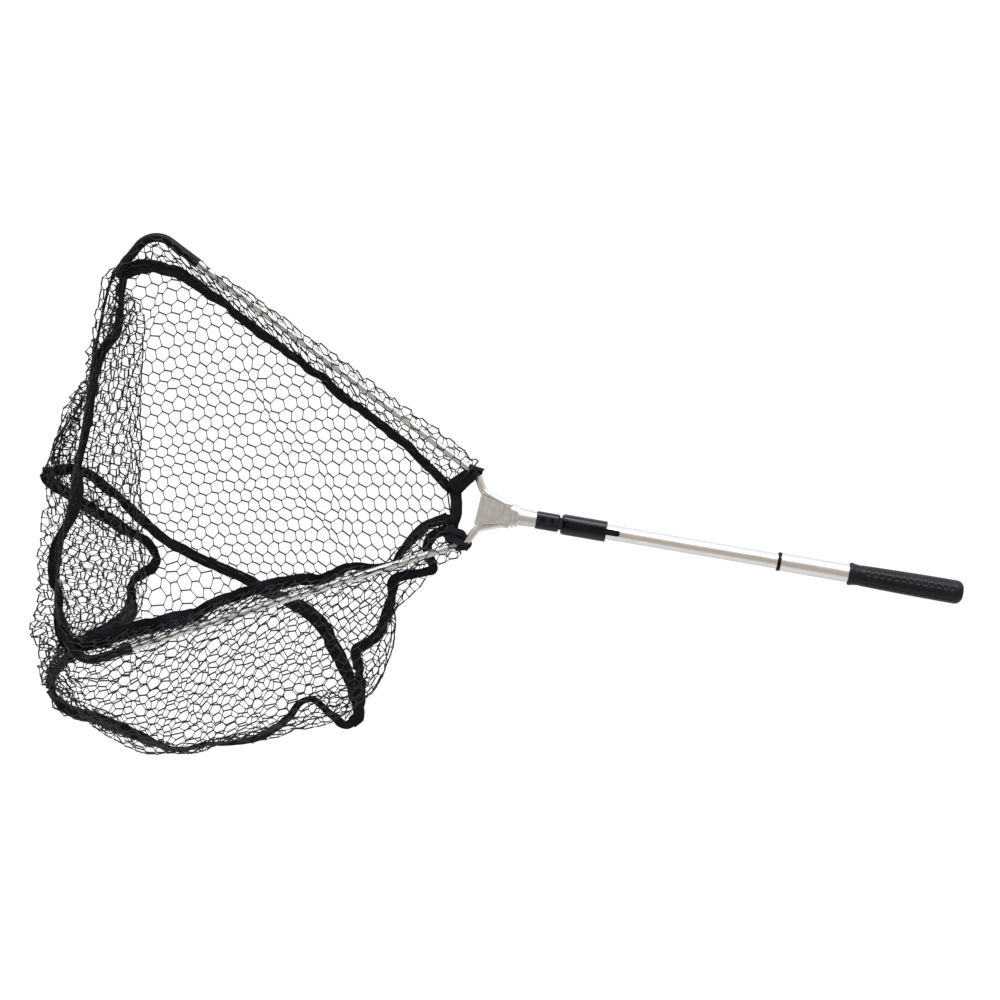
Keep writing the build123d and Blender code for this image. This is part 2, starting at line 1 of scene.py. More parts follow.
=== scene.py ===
"""Looks of the folding landing net: netting, tapes, tubes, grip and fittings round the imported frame.

Everything is in metres in the row frame: +X along the pole to the butt of the grip, +Z up in the
hoop's plane, and the bag behind the hoop on +Y.
"""

import math

import bpy
import numpy as np
from mathutils import Matrix, Vector


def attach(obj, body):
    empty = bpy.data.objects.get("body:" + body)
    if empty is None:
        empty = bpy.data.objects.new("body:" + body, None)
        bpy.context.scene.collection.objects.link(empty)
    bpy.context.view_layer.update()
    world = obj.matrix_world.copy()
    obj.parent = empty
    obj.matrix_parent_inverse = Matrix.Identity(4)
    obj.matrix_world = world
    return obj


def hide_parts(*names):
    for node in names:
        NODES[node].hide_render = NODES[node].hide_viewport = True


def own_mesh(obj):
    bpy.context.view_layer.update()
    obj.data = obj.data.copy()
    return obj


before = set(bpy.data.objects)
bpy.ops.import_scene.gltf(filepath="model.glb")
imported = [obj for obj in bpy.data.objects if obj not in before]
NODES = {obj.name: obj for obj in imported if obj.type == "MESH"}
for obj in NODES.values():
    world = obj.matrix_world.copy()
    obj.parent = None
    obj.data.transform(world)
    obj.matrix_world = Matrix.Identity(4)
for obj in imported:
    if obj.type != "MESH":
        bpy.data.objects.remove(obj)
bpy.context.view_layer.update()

# ---------------- camera
VIEW_CENTRE = (-0.580, 0.0185)  # x and z of the picture's middle, in the hoop's plane
VIEW_SPAN = 1.400  # metres across the picture there
VIEW_FAR = 6.0  # metres from the camera to that plane
VIEW_ROLL = math.radians(9.79)
SENSOR = 36.0


def make_camera():
    data = bpy.data.cameras.new("camera")
    data.sensor_width = SENSOR
    data.lens = SENSOR * VIEW_FAR / VIEW_SPAN
    data.clip_end = 50.0
    camera = bpy.data.objects.new("camera", data)
    bpy.context.scene.collection.objects.link(camera)
    right = Vector((math.cos(VIEW_ROLL), 0, math.sin(VIEW_ROLL)))
    up = Vector((-math.sin(VIEW_ROLL), 0, math.cos(VIEW_ROLL)))
    turn = Matrix((right, up, right.cross(up))).transposed().to_4x4()
    place = Matrix.Translation((VIEW_CENTRE[0], -VIEW_FAR, VIEW_CENTRE[1]))
    camera.matrix_world = place @ turn
    bpy.context.scene.camera = camera


make_camera()

# ---------------- materials
# a colour Mix node has sockets for floats and vectors too, so its colours go by number
MIX_A, MIX_B, MIX_RESULT = 6, 7, 2


def add_node(tree, kind, inputs=(), **settings):
    """A new node; each of its inputs is a value, or another node's output to link."""
    n = tree.nodes.new(kind)
    for key, value in settings.items():
        setattr(n, key, value)
    for key, value in dict(inputs).items():
        if isinstance(value, bpy.types.NodeSocket):
            tree.links.new(value, n.inputs[key])
        else:
            n.inputs[key].default_value = value
    return n


def mixed_colour(tree, value, dark, light):
    """A colour between dark, at value 0, and light, at 1."""
    inputs = {"Factor": value, MIX_A: (*dark, 1), MIX_B: (*light, 1)}
    return add_node(tree, "ShaderNodeMix", inputs, data_type="RGBA").outputs[MIX_RESULT]


class Finish:
    """A new material with its shader, and short ways to add nodes to it."""

    def __init__(self, name, colour, roughness, metallic=0.0):
        self.material = bpy.data.materials.new(name)
        self.material.use_nodes = True
        self.tree = self.material.node_tree
        self.shader = self.tree.nodes["Principled BSDF"]
        self.shader.inputs["Base Color"].default_value = (*colour, 1)
        self.shader.inputs["Roughness"].default_value = roughness
        self.shader.inputs["Metallic"].default_value = metallic
        self.where = self.tree.nodes.new("ShaderNodeTexCoord").outputs["Object"]

    def set(self, **values):
        for key, value in values.items():
            self.shader.inputs[key.replace("_", " ")].default_value = value
        return self

    def node(self, kind, inputs=(), **settings):
        return add_node(self.tree, kind, inputs, **settings)

    def place(self, scale=(1, 1, 1), turn=(0, 0, 0)):
        return self.node(
            "ShaderNodeMapping", {"Vector": self.where, "Scale": scale, "Rotation": turn}
        ).outputs[0]

    def noise(self, scale, detail=3.0, where=None, rough=0.5):
        inputs = {"Vector": where or self.where, "Scale": scale, "Detail": detail, "Roughness": rough}
        return self.node("ShaderNodeTexNoise", inputs).outputs["Fac"]

    def ramp(self, value, low, high, a=0.3, b=0.7):
        """A value from low, at a and under, to high, at b and over."""
        inputs = {"Value": value, "From Min": a, "From Max": b, "To Min": low, "To Max": high}
        return self.node("ShaderNodeMapRange", inputs).outputs[0]

    def mixed(self, value, dark, light):
        return mixed_colour(self.tree, value, dark, light)

    def use(self, socket, output):
        self.tree.links.new(output, self.shader.inputs[socket])
        return self

    def bump(self, height, strength, distance):
        inputs = {"Height": height, "Strength": strength, "Distance": distance}
        if self.shader.inputs["Normal"].links:
            inputs["Normal"] = self.shader.inputs["Normal"].links[0].from_socket
        self.use("Normal", self.node("ShaderNodeBump", inputs).outputs[0])
        return self


def tube_finish(name, colour, along):
    """Drawn and anodised aluminium: fine lines along the tube, faint handling marks."""
    f = Finish(name, colour, 0.3, metallic=1.0)
    stretch = [600.0, 600.0, 600.0]
    stretch[along] = 6.0
    lines = f.noise(1.0, 4, f.place(stretch))
    marks = f.noise(38.0, 6, rough=0.65)
    f.use("Roughness", f.ramp(marks, 0.22, 0.42))
    f.use("Base Color", f.mixed(f.ramp(marks, 0, 1, 0.35, 0.75), colour, [c * 0.9 for c in colour]))
    f.bump(lines, 0.12, 0.0002)
    return f.set(Coat_Weight=0.15, Coat_Roughness=0.2).material


def cast_finish():
    """Tumbled die-cast aluminium: soft mottling and a fine orange-peel skin."""
    f = Finish("cast_aluminium", (0.72, 0.71, 0.70), 0.4, metallic=0.85)
    mottle = f.noise(90.0, 5)
    f.use("Base Color", f.mixed(f.ramp(mottle, 0, 1), (0.66, 0.65, 0.64), (0.78, 0.775, 0.765)))
    f.use("Roughness", f.ramp(f.noise(260.0, 4), 0.3, 0.5))
    f.bump(f.noise(900.0, 3), 0.25, 0.0002)
    f.bump(mottle, 0.2, 0.0004)
    return f.material


def plastic_finish(name, colour, low, high, grain, shine):
    """Moulded plastic with a fine spark-eroded grain and slightly rubbed edges."""
    f = Finish(name, colour, low)
    wear = f.noise(45.0, 6, rough=0.6)
    f.use("Roughness", f.ramp(wear, low, high))
    f.use("Base Color", f.mixed(f.ramp(wear, 0, 1, 0.45, 0.8), colour, [c * 2.2 + 0.004 for c in colour]))
    f.bump(f.noise(2200.0, 2), grain, 0.0001)
    return f.set(Specular_IOR_Level=shine).material


def net_finish():
    """Rubber-coated netting: black, softly glossy, with uneven coating."""
    f = Finish("net_rubber", (0.010, 0.010, 0.012), 0.4)
    coat = f.noise(420.0, 3)
    f.use("Roughness", f.ramp(coat, 0.32, 0.55))
    f.use("Base Color", f.mixed(f.ramp(coat, 0, 1), (0.006, 0.006, 0.008), (0.020, 0.020, 0.024)))
    f.bump(coat, 0.4, 0.0002)
    return f.set(Specular_IOR_Level=0.45).material


def webbing_finish():
    """Woven polyester tape: a herringbone rib, a dull blue-black with a soft sheen."""
    f = Finish("tape_webbing", (0.010, 0.010, 0.014), 0.75)

    def rib(turn):
        inputs = {"Vector": f.place(turn=turn), "Scale": 420.0, "Distortion": 1.2}
        return f.node("ShaderNodeTexWave", inputs).outputs["Fac"]

    ribs = {0: rib((0.6, 0.5, 0.8)), 1: rib((-0.7, 0.4, -0.9))}
    weave = f.node("ShaderNodeMath", ribs, operation="MULTIPLY")
    fuzz = f.noise(700.0, 4)
    f.use("Base Color", f.mixed(f.ramp(fuzz, 0, 1), (0.002, 0.002, 0.004), (0.009, 0.009, 0.014)))
    f.bump(weave.outputs[0], 0.6, 0.0003)
    f.bump(fuzz, 0.3, 0.0002)
    f.set(Specular_IOR_Level=0.2, Sheen_Weight=0.02, Sheen_Roughness=0.4, Sheen_Tint=(0.5, 0.55, 0.8, 1))
    return f.material


def steel_finish():
    """Plain bright steel for pins and springs."""
    f = Finish("steel", (0.55, 0.55, 0.56), 0.3, metallic=1.0)
    f.use("Roughness", f.ramp(f.noise(300.0, 4), 0.2, 0.4))
    return f.material


POLE_METAL = tube_finish("pole_aluminium", (0.90, 0.89, 0.87), 0)
ARM_METAL = tube_finish("arm_aluminium", (0.86, 0.85, 0.82), 0)
CAST_METAL = cast_finish()
BLACK_PLASTIC = plastic_finish("black_plastic", (0.004, 0.004, 0.006), 0.30, 0.45, 0.3, 0.16)
GLOSS_PLASTIC = plastic_finish("gloss_black_plastic", (0.006, 0.007, 0.010), 0.20, 0.34, 0.12, 0.4)
GRIP_RUBBER = plastic_finish("grip_rubber", (0.006, 0.006, 0.008), 0.30, 0.45, 0.25, 0.26)
NYLON = plastic_finish("white_nylon", (0.75, 0.74, 0.70), 0.4, 0.55, 0.1, 0.5)
NET_RUBBER = net_finish()
WEBBING = webbing_finish()
STEEL = steel_finish()

CAD_FINISH = {
    POLE_METAL: ["outer_tube", "inner_tube"],
    BLACK_PLASTIC: ["collar_ring", "tube_end_plug", "latch_slider"]
    + ["knuckle_screws", "upper_elbow", "lower_elbow"],
    GRIP_RUBBER: ["grip"],
    NYLON: ["lock_expander", "lock_plug", "lock_retainer"],
    GLOSS_PLASTIC: ["lock_housing", "knuckle"],
    STEEL: ["latch_spring", "hinge_pin", "housing_pins"],
    CAST_METAL: ["yoke_casting", "yoke_front_plate", "yoke_back_plate", "arm_pivot_rivets"],
    ARM_METAL: ["upper_arm_tube", "lower_arm_tube"],
}
for finish, nodes in CAD_FINISH.items():
    for node in nodes:
        NODES[node].data.materials.clear()
        NODES[node].data.materials.append(finish)

# ---------------- curves and meshes


def behind(points):
    """Points (x, y, z) whose x and z say where they show in the hoop's plane, moved back to their y."""
    out = []
    for x, y, z in points:
        grow = 1 + y / VIEW_FAR
        cx, cz = VIEW_CENTRE
        out.append((cx + (x - cx) * grow, y, cz + (z - cz) * grow))
    return out


def curved(a, b, c, d, t):
    """The smooth curve from b to c at share t, with a before it and d after it."""
    return b + 0.5 * t * (c - a + t * (2 * a - 5 * b + 4 * c - d + t * (3 * (b - c) + d - a)))


BETWEEN = 16  # steps of a spline from one of its points to the next


def spline(points, steps=240):
    """A smooth line through the points, as rows evenly spaced along it."""
    p = np.array(points, float)
    p = np.vstack([2 * p[0] - p[1], p, 2 * p[-1] - p[-2]])
    t = np.linspace(0, 1, BETWEEN, endpoint=False)[:, None]
    fine = [curved(a, b, c, d, t) for a, b, c, d in zip(p[:-3], p[1:-2], p[2:-1], p[3:])]
    return resampled(np.vstack([*fine, p[-2:-1]]), steps)


def resampled(line, steps):
    """The line as that many points, evenly spaced along it."""
    along = np.concatenate([[0], np.cumsum(np.linalg.norm(np.diff(line, axis=0), axis=1))])
    even = np.linspace(0, along[-1], steps)
    return np.stack([np.interp(even, along, line[:, k]) for k in range(line.shape[1])], axis=1)


def at(line, t):
    """Points at shares t, from 0 to 1, of an evenly spaced line."""
    place = np.clip(np.asarray(t, float), 0, 1) * (len(line) - 1)
    rows = np.arange(len(line))
    return np.stack([np.interp(place, rows, line[:, k]) for k in range(line.shape[1])], axis=-1)


def long(line):
    """The length of a line."""
    return float(np.linalg.norm(np.diff(line, axis=0), axis=1).sum())


def unit(v):
    return v / np.maximum(np.linalg.norm(v, axis=-1, keepdims=True), 1e-12)


def new_piece(name, points, faces, finish, smooth=True):
    """A mesh piece from points and faces, which are arrays of rows with one length each."""
    mesh = bpy.data.meshes.new(name)
    groups = [np.asarray(f, np.int32) for f in faces if len(f)]
    sizes = np.concatenate([np.full(len(g), g.shape[1], np.int32) for g in groups])
    corners = np.concatenate([g.ravel() for g in groups])
    mesh.vertices.add(len(points))
    mesh.vertices.foreach_set("co", np.asarray(points, np.float32).ravel())
    mesh.loops.add(len(corners))
    mesh.loops.foreach_set("vertex_index", corners)
    mesh.polygons.add(len(sizes))
    mesh.polygons.foreach_set("loop_start", np.concatenate([[0], np.cumsum(sizes)[:-1]]).astype(np.int32))
    mesh.update(calc_edges=True)
    mesh.polygons.foreach_set("use_smooth", np.full(len(sizes), smooth))
    mesh.materials.append(finish)
    mesh.validate()
    piece = bpy.data.objects.new(name, mesh)
    bpy.context.scene.collection.objects.link(piece)
    return piece


# ---------------- netting
PITCH = 0.0171  # across the flats of a mesh
SIDE = PITCH / math.sqrt(3)
STRAND_R = (0.00112, 0.00062, 0.00062)  # the doubled strands of each mesh, and its two legs
KNOT_R = 0.00122
WOBBLE = 0.00055  # how far the knots sit from a perfect honeycomb
RING = 5  # corners of a strand's section
ROOT_R = KNOT_R * 0.82  # least radius of a strand where it meets a knot
ROOT = 0.24  # share of a strand, at each end, in which it narrows from there
BALL_EDGE = 1.06  # just over the length of an edge of a twenty-faced ball of radius 1
SIDE_STEPS, ROW_STEPS, CREASE_STEPS = 60, 12, 80  # along a cut's side, from row to row, in a crease
MISSED = 9.0  # stands for a side that a strand doesn't cross; real shares are 0 to 1
GRAVITY = 0.00001  # metres per step squared
WAVES = 28  # random waves in a ruffle
ROUNDS, EASE = 10, 1.4  # passes over the strands in each step of settling, and how far each goes


def honeycomb(low, high, turn):
    """Points and edges of a honeycomb over a rectangle; an edge's third number is its family."""
    reach = int(max(high - low) / SIDE) + 4
    i, j = np.meshgrid(np.arange(-reach, reach), np.arange(-reach, reach), indexing="ij")
    a1, a2 = SIDE * np.array([1.5, math.sqrt(3) / 2]), SIDE * np.array([1.5, -math.sqrt(3) / 2])
    first = i[..., None] * a1 + j[..., None] * a2
    second = first + np.array([SIDE, 0])
    count = i.size
    points = np.vstack([first.reshape(-1, 2), second.reshape(-1, 2)])
    ids = np.arange(count).reshape(i.shape)
    edges = [
        (ids, count + ids, 0),
        (ids[:, 1:], count + ids[:, :-1], 1),
        (ids[1:, :], count + ids[:-1, :], 2),
    ]
    rows = [np.stack([a.ravel(), b.ravel(), np.full(a.size, k)], 1) for a, b, k in edges]
    c, s = math.cos(turn), math.sin(turn)
    points = points @ np.array([[c, s], [-s, c]]) + (low + high) / 2
    return points, np.vstack(rows)


def inside(points, outline):
    """Which points lie inside a closed outline."""
    a, b = outline, np.roll(outline, -1, axis=0)
    x, y = points[:, 0:1], points[:, 1:2]
    spans = (a[:, 1] > y) != (b[:, 1] > y)
    slope = np.where(b[:, 1] == a[:, 1], 1e-12, b[:, 1] - a[:, 1])
    cut = a[:, 0] + (y - a[:, 1]) * (b[:, 0] - a[:, 0]) / slope
    return (spans & (x < cut)).sum(1) % 2 == 1


class Netting:
    """A honeycomb cut to a flat outline and tied along its sides to lines in space.

    sides is a list of (flat line, line in space), in order round the panel. bow bends the rows of meshes.
    """

    def __init__(self, sides, turn=0.0, slack=1.02, laced=(), seed=1, bow=0.0):
        steps = SIDE_STEPS
        flat = [resampled(np.array(f, float), steps) for f, _ in sides]
        outline = np.vstack([f[:-1] for f in flat])
        segment_side = np.repeat(np.arange(len(sides)), steps - 1)
        segment_share = np.tile(np.arange(steps - 1), len(sides)) / (steps - 1)
        points, edges = honeycomb(outline.min(0), outline.max(0), turn)
        points += np.random.default_rng(seed).normal(0, WOBBLE, points.shape)
        points[:, 1] -= bow * (points[:, 0] - outline[:, 0].mean()) ** 2
        kept = inside(points, outline)
        touching = kept[edges[:, 0]] | kept[edges[:, 1]]
        edges = edges[touching]
        whole = kept[edges[:, 0]] & kept[edges[:, 1]]
        cut = edges[~whole]
        swap = ~kept[cut[:, 0]]
        cut[swap, 0], cut[swap, 1] = cut[swap, 1], cut[swap, 0]
        p, q = points[cut[:, 0]], points[cut[:, 1]]
        a, b = outline, np.roll(outline, -1, axis=0)
        d, e = (q - p)[:, None], (b - a)[None]
        w = a[None] - p[:, None]
        cross = d[..., 0] * e[..., 1] - d[..., 1] * e[..., 0]
        cross = np.where(abs(cross) < 1e-14, 1e-14, cross)
        t = (w[..., 0] * e[..., 1] - w[..., 1] * e[..., 0]) / cross
        u = (w[..., 0] * d[..., 1] - w[..., 1] * d[..., 0]) / cross
        t = np.where((t >= -1e-9) & (t <= 1 + 1e-9) & (u >= -1e-9) & (u <= 1 + 1e-9), t, MISSED)
        hit = t.argmin(1)
        rows = np.arange(len(cut))
        share = segment_share[hit] + u[rows, hit] / (steps - 1)
        rim_flat = p + (q - p) * np.clip(t[rows, hit], 0, 1)[:, None]
        rim = np.zeros((len(cut), 3))
        for k, (_, line) in enumerate(sides):
            on = segment_side[hit] == k
            rim[on] = at(line, share[on])
        number = np.full(len(points), -1)
        number[kept] = np.arange(kept.sum())
        free = int(kept.sum())
        self.flat = np.vstack([points[kept], rim_flat])
        self.free = free
        self.family = np.concatenate([edges[whole][:, 2], cut[:, 2]])
        self.edges = np.vstack(
            [number[edges[whole][:, :2]], np.stack([number[cut[:, 0]], free + rows], 1)]
        )
        for k in laced:
            on = np.flatnonzero(segment_side[hit] == k)
            row = free + on[np.argsort(share[on])]
            self.edges = np.vstack([self.edges, np.stack([row[:-1], row[1:]], 1)])
            self.family = np.concatenate([self.family, np.zeros(len(row) - 1, int)])
        self.points = np.vstack([np.zeros((free, 3)), rim])
        self.held = np.zeros(len(self.points), bool)
        self.held[free:] = True
        self.rest = slack * np.linalg.norm(
            self.flat[self.edges[:, 0]] - self.flat[self.edges[:, 1]], axis=1
        )
        self._spread()
        self._braces(slack)

    def _spread(self):
        """Puts every free point at the mean of its neighbours."""
        n = len(self.points)
        near = np.zeros((n, n))
        near[self.edges[:, 0], self.edges[:, 1]] = 1
        near += near.T
        loose = ~self.held
        weights = near[loose]
        system = np.diag(weights.sum(1)) - weights[:, loose]
        self.points[loose] = np.linalg.solve(system, weights[:, self.held] @ self.points[self.held])
        self.near = near

    def _braces(self, slack):
        """Pairs of points with a neighbour in common; they keep the meshes open."""
        pairs = set()
        for row in self.near:
            ends = np.flatnonzero(row)
            for i, a in enumerate(ends):
                pairs.update((a, b) for b in ends[i + 1 :])
        self.braces = np.array(sorted(pairs))
        self.brace_rest = slack * np.linalg.norm(
            self.flat[self.braces[:, 0]] - self.flat[self.braces[:, 1]], axis=1
        )

    def stand_up(self, lean, tall):
        """Undoes the leaning of the flat cut: each free point keeps its depth in the leaning plane."""
        p = self.points[: self.free]
        p[:, 0] = self.flat[: self.free, 0]
        p[:, 2] = (self.flat[: self.free, 1] / tall + p[:, 1] * math.sin(lean)) / math.cos(lean)
        return self

    def lay(self, rows):
        """Puts a rectangular cut on the smooth surface through lines that run along it, hem to base."""
        size = np.ptp(self.flat, axis=0)
        loose = ~self.held
        u = np.clip(self.flat[loose, 0] / size[0], 0, 1)
        v = np.clip(-self.flat[loose, 1] / size[1], 0, 1)
        posts = np.stack([at(row, u) for row in rows], 1)
        before, after = 2 * posts[:, :1] - posts[:, 1:2], 2 * posts[:, -1:] - posts[:, -2:-1]
        posts = np.concatenate([before, posts, after], 1)
        t = np.linspace(0, 1, ROW_STEPS, endpoint=False)[None, :, None]
        spans = []
        for k in range(len(rows) - 1):
            a, b, c, d = (posts[:, k + m, None] for m in range(4))
            spans.append(curved(a, b, c, d, t))
        line = np.concatenate([*spans, posts[:, -2:-1]], 1)
        along = np.cumsum(np.linalg.norm(np.diff(line, axis=1), axis=2), axis=1)
        along = np.concatenate([np.zeros((len(u), 1)), along], 1)
        want = v * along[:, -1]
        i = np.clip((along < want[:, None]).sum(1) - 1, 0, line.shape[1] - 2)
        row = np.arange(len(u))
        part = (want - along[row, i]) / np.maximum(along[row, i + 1] - along[row, i], 1e-9)
        self.points[loose] = line[row, i] + (line[row, i + 1] - line[row, i]) * part[:, None]
        return self

    def ruffle(self, height, spacing, seed):
        """Moves the free points by smooth random waves across the cut."""
        draw = np.random.default_rng(seed)
        move = np.zeros_like(self.points)
        for _ in range(WAVES):
            way = draw.normal(0, 1, 2)
            wave = 2 * math.pi / (spacing * draw.uniform(0.6, 1.8)) * way / np.linalg.norm(way)
            move += draw.normal(0, 1, 3) * np.sin(self.flat @ wave + draw.uniform(0, 6.3))[:, None]
        self.points += np.where(self.held[:, None], 0, move * height / math.sqrt(WAVES / 2))
        return self

    def pinch(self, line, width, share, height):
        """Draws the free points in towards a line (x, z) and raises them there: a crease in the netting."""
        line = resampled(np.array(line, float), CREASE_STEPS)
        loose = ~self.held
        p = self.points[loose]
        away = p[:, None, [0, 2]] - line[None]
        nearest = np.linalg.norm(away, axis=2).argmin(1)
        away = away[np.arange(len(p)), nearest]
        size = np.linalg.norm(away, axis=1)
        pull = share * np.exp(-((size / width) ** 2))
        p[:, [0, 2]] -= away * pull[:, None]
        p[:, 1] -= height * np.exp(-((size / (0.6 * width)) ** 2))
        self.points[loose] = p
        return self

    def settle(self, steps, brace, damp=0.96):
        """Lets the netting hang for a few steps, in which the strands keep their length."""
        p = self.points.copy()
        before = p.copy()
        pairs = np.vstack([self.edges, self.braces])
        rest = np.concatenate([self.rest, self.brace_rest])
        stiff = np.concatenate([np.full(len(self.edges), 1.0), np.full(len(self.braces), brace)])
        i, j = pairs[:, 0], pairs[:, 1]
        share = np.zeros(len(p))
        np.add.at(share, i, stiff)
        np.add.at(share, j, stiff)
        ease = EASE / np.maximum(share, 1e-6)
        ease[self.held] = 0
        pull = np.array([0, 0, -GRAVITY])
        for _ in range(steps):
            move = (p - before) * damp + pull
            move[self.held] = 0
            before = p.copy()
            p = p + move
            for _ in range(ROUNDS):
                d = p[j] - p[i]
                size = np.maximum(np.linalg.norm(d, axis=1), 1e-9)
                fix = d * (0.5 * stiff * (size - rest) / size)[:, None]
                total = np.zeros_like(p)
                np.add.at(total, i, fix)
                np.add.at(total, j, -fix)
                p += total * ease[:, None]
        self.points = p
        return self

    def piece(self, name):
        """The strands as closed tubes with fused knots, in one mesh piece."""
        tube_points, tube_faces = strand_tubes(self.points, self.edges, self.family)
        knot_points, knot_faces = knots(self.points[: self.free])
        shift = len(tube_points)
        faces = [*tube_faces, knot_faces + shift]
        piece = new_piece(name, np.vstack([tube_points, knot_points]), faces, NET_RUBBER)
        return piece


def strand_tubes(points, edges, family):
    """One closed tube for each edge, thicker at its ends, with the family's radius between."""
    a, b = points[edges[:, 0]], points[edges[:, 1]]
    d = unit(b - a)
    helper = np.where(abs(d[:, 1:2]) > 0.9, [[1.0, 0, 0]], [[0, 1.0, 0]])
    side = unit(np.cross(d, helper))
    other = np.cross(d, side)
    r = np.array(STRAND_R)[family]
    stations = [(0.0, ROOT_R), (ROOT, None), (1 - ROOT, None), (1.0, ROOT_R)]
    angles = np.arange(RING) * 2 * math.pi / RING
    rings = []
    for share, radius in stations:
        size = r if radius is None else np.maximum(r, radius)
        centre = a + (b - a) * share
        for angle in angles:
            rings.append(centre + (side * math.cos(angle) + other * math.sin(angle)) * size[:, None])
    rows = np.stack(rings, 1)  # edge, ring point, xyz
    per = RING * len(stations)
    base = (np.arange(len(edges)) * per)[:, None]
    quads, caps = [], []
    for k in range(len(stations) - 1):
        for m in range(RING):
            n = (m + 1) % RING
            quads.append(base + [k * RING + m, k * RING + n, (k + 1) * RING + n, (k + 1) * RING + m])
    last = (len(stations) - 1) * RING
    caps.append(base + np.arange(RING)[::-1])
    caps.append(base + last + np.arange(RING))
    return rows.reshape(-1, 3), [np.vstack(quads), np.vstack(caps)]


def knots(centres):
    """A small twenty-faced ball at each point."""
    g = (1 + math.sqrt(5)) / 2
    ball = unit(
        np.array(
            [(-1, g, 0), (1, g, 0), (-1, -g, 0), (1, -g, 0), (0, -1, g), (0, 1, g)]
            + [(0, -1, -g), (0, 1, -g), (g, 0, -1), (g, 0, 1), (-g, 0, -1), (-g, 0, 1)],
            float,
        )
    )
    faces = []
    for i in range(12):
        for j in range(i + 1, 12):
            for k in range(j + 1, 12):
                a, b, c = ball[i], ball[j], ball[k]
                if max(np.linalg.norm(a - b), np.linalg.norm(b - c), np.linalg.norm(c - a)) < BALL_EDGE:
                    out = np.dot(np.cross(b - a, c - a), a + b + c) > 0
                    faces.append((i, j, k) if out else (i, k, j))
    faces = np.array(faces)
    points = (centres[:, None] + ball[None] * KNOT_R).reshape(-1, 3)
    return points, (faces[None] + 12 * np.arange(len(centres))[:, None, None]).reshape(-1, 3)


# ---------------- seams of the bag
def seam(*points):
    """A smooth line through points whose x and z say where they show in the hoop's plane."""
    return spline(behind(points))


HEM_UPPER = spline(
    [(-0.648, 0.009, 0.020), (-0.733, 0.009, 0.077), (-0.891, 0.009, 0.161), (-1.047, 0.009, 0.243)]
    + [(-1.095, 0.008, 0.258), (-1.130, 0.007, 0.256), (-1.156, 0.006, 0.240)]
)
HEM_FRONT = spline(
    [(-1.156, 0.006, 0.240), (-1.150, 0.008, 0.202), (-1.151, 0.009, 0.156), (-1.167, 0.009, 0.118)]
    + [(-1.169, 0.009, 0.072), (-1.168, 0.009, 0.017), (-1.172, 0.009, -0.032), (-1.164, 0.009, -0.070)]
    + [(-1.169, 0.009, -0.114), (-1.183, 0.009, -0.151), (-1.178, 0.009, -0.197)]
    + [(-1.166, 0.009, -0.218), (-1.163, 0.009, -0.252), (-1.146, 0.007, -0.287)]
)
HEM_LOWER = spline(
    [(-1.146, 0.007, -0.287), (-1.110, 0.007, -0.274), (-1.055, 0.008, -0.248), (-0.988, 0.009, -0.218)]
    + [(-0.942, 0.009, -0.187), (-0.897, 0.009, -0.163), (-0.837, 0.009, -0.138)]
    + [(-0.808, 0.009, -0.134), (-0.774, 0.010, -0.111), (-0.741, 0.011, -0.103)]
    + [(-0.712, 0.012, -0.095), (-0.698, 0.011, -0.066), (-0.678, 0.010, -0.036), (-0.648, 0.009, -0.018)]
)
CORNER_YOKE = seam(
    (-0.644, 0.009, -0.014), (-0.646, 0.010, -0.030), (-0.657, 0.010, -0.040), (-0.667, 0.011, -0.052),
    (-0.668, 0.012, -0.068), (-0.659, 0.013, -0.082), (-0.655, 0.013, -0.094), (-0.670, 0.014, -0.102),
    (-0.693, 0.018, -0.107), (-0.709, 0.026, -0.120), (-0.708, 0.044, -0.144), (-0.709, 0.064, -0.171),
    (-0.716, 0.086, -0.196), (-0.738, 0.104, -0.220), (-0.738, 0.118, -0.239), (-0.731, 0.130, -0.257),
    (-0.726, 0.146, -0.284), (-0.723, 0.165, -0.316),
)
CORNER_UPPER = seam(
    (-1.156, 0.006, 0.240), (-1.161, 0.060, 0.150), (-1.182, 0.115, 0.050), (-1.218, 0.160, -0.052),
)
CORNER_LOWER = seam(
    (-1.146, 0.007, -0.287), (-1.155, 0.050, -0.302), (-1.159, 0.100, -0.318), (-1.158, 0.150, -0.335),
    (-1.157, 0.190, -0.350),
)
BASE_UPPER = seam(
    (-0.723, 0.165, -0.316), (-0.740, 0.165, -0.272), (-0.767, 0.165, -0.233), (-0.787, 0.165, -0.205),
    (-0.813, 0.165, -0.185), (-0.844, 0.165, -0.173), (-0.913, 0.165, -0.151), (-1.004, 0.163, -0.126),
    (-1.051, 0.162, -0.106), (-1.102, 0.160, -0.072), (-1.165, 0.160, -0.040), (-1.218, 0.160, -0.052),
)
BASE_FRONT = seam(
    (-1.218, 0.160, -0.052), (-1.188, 0.163, -0.071), (-1.156, 0.165, -0.085), (-1.095, 0.168, -0.110),
    (-1.048, 0.168, -0.131), (-1.040, 0.168, -0.153), (-1.066, 0.172, -0.178), (-1.064, 0.175, -0.205),
    (-1.068, 0.178, -0.235), (-1.123, 0.182, -0.274), (-1.138, 0.186, -0.299), (-1.155, 0.188, -0.329),
    (-1.157, 0.190, -0.350),
)
BASE_LOWER = seam(
    (-1.157, 0.190, -0.350), (-1.127, 0.192, -0.374), (-1.083, 0.194, -0.380), (-1.031, 0.195, -0.390),
    (-0.972, 0.195, -0.403), (-0.930, 0.194, -0.390), (-0.861, 0.190, -0.369), (-0.823, 0.186, -0.336),
    (-0.808, 0.184, -0.310), (-0.788, 0.180, -0.301), (-0.763, 0.176, -0.317), (-0.740, 0.170, -0.328),
    (-0.723, 0.165, -0.316),
)


def leaning(line, lean, tall):
    """A line in space laid flat in a plane that leans back by that angle, its height then scaled."""
    return np.stack([line[:, 0], tall * (line[:, 2] * math.cos(lean) - line[:, 1] * math.sin(lean))], 1)


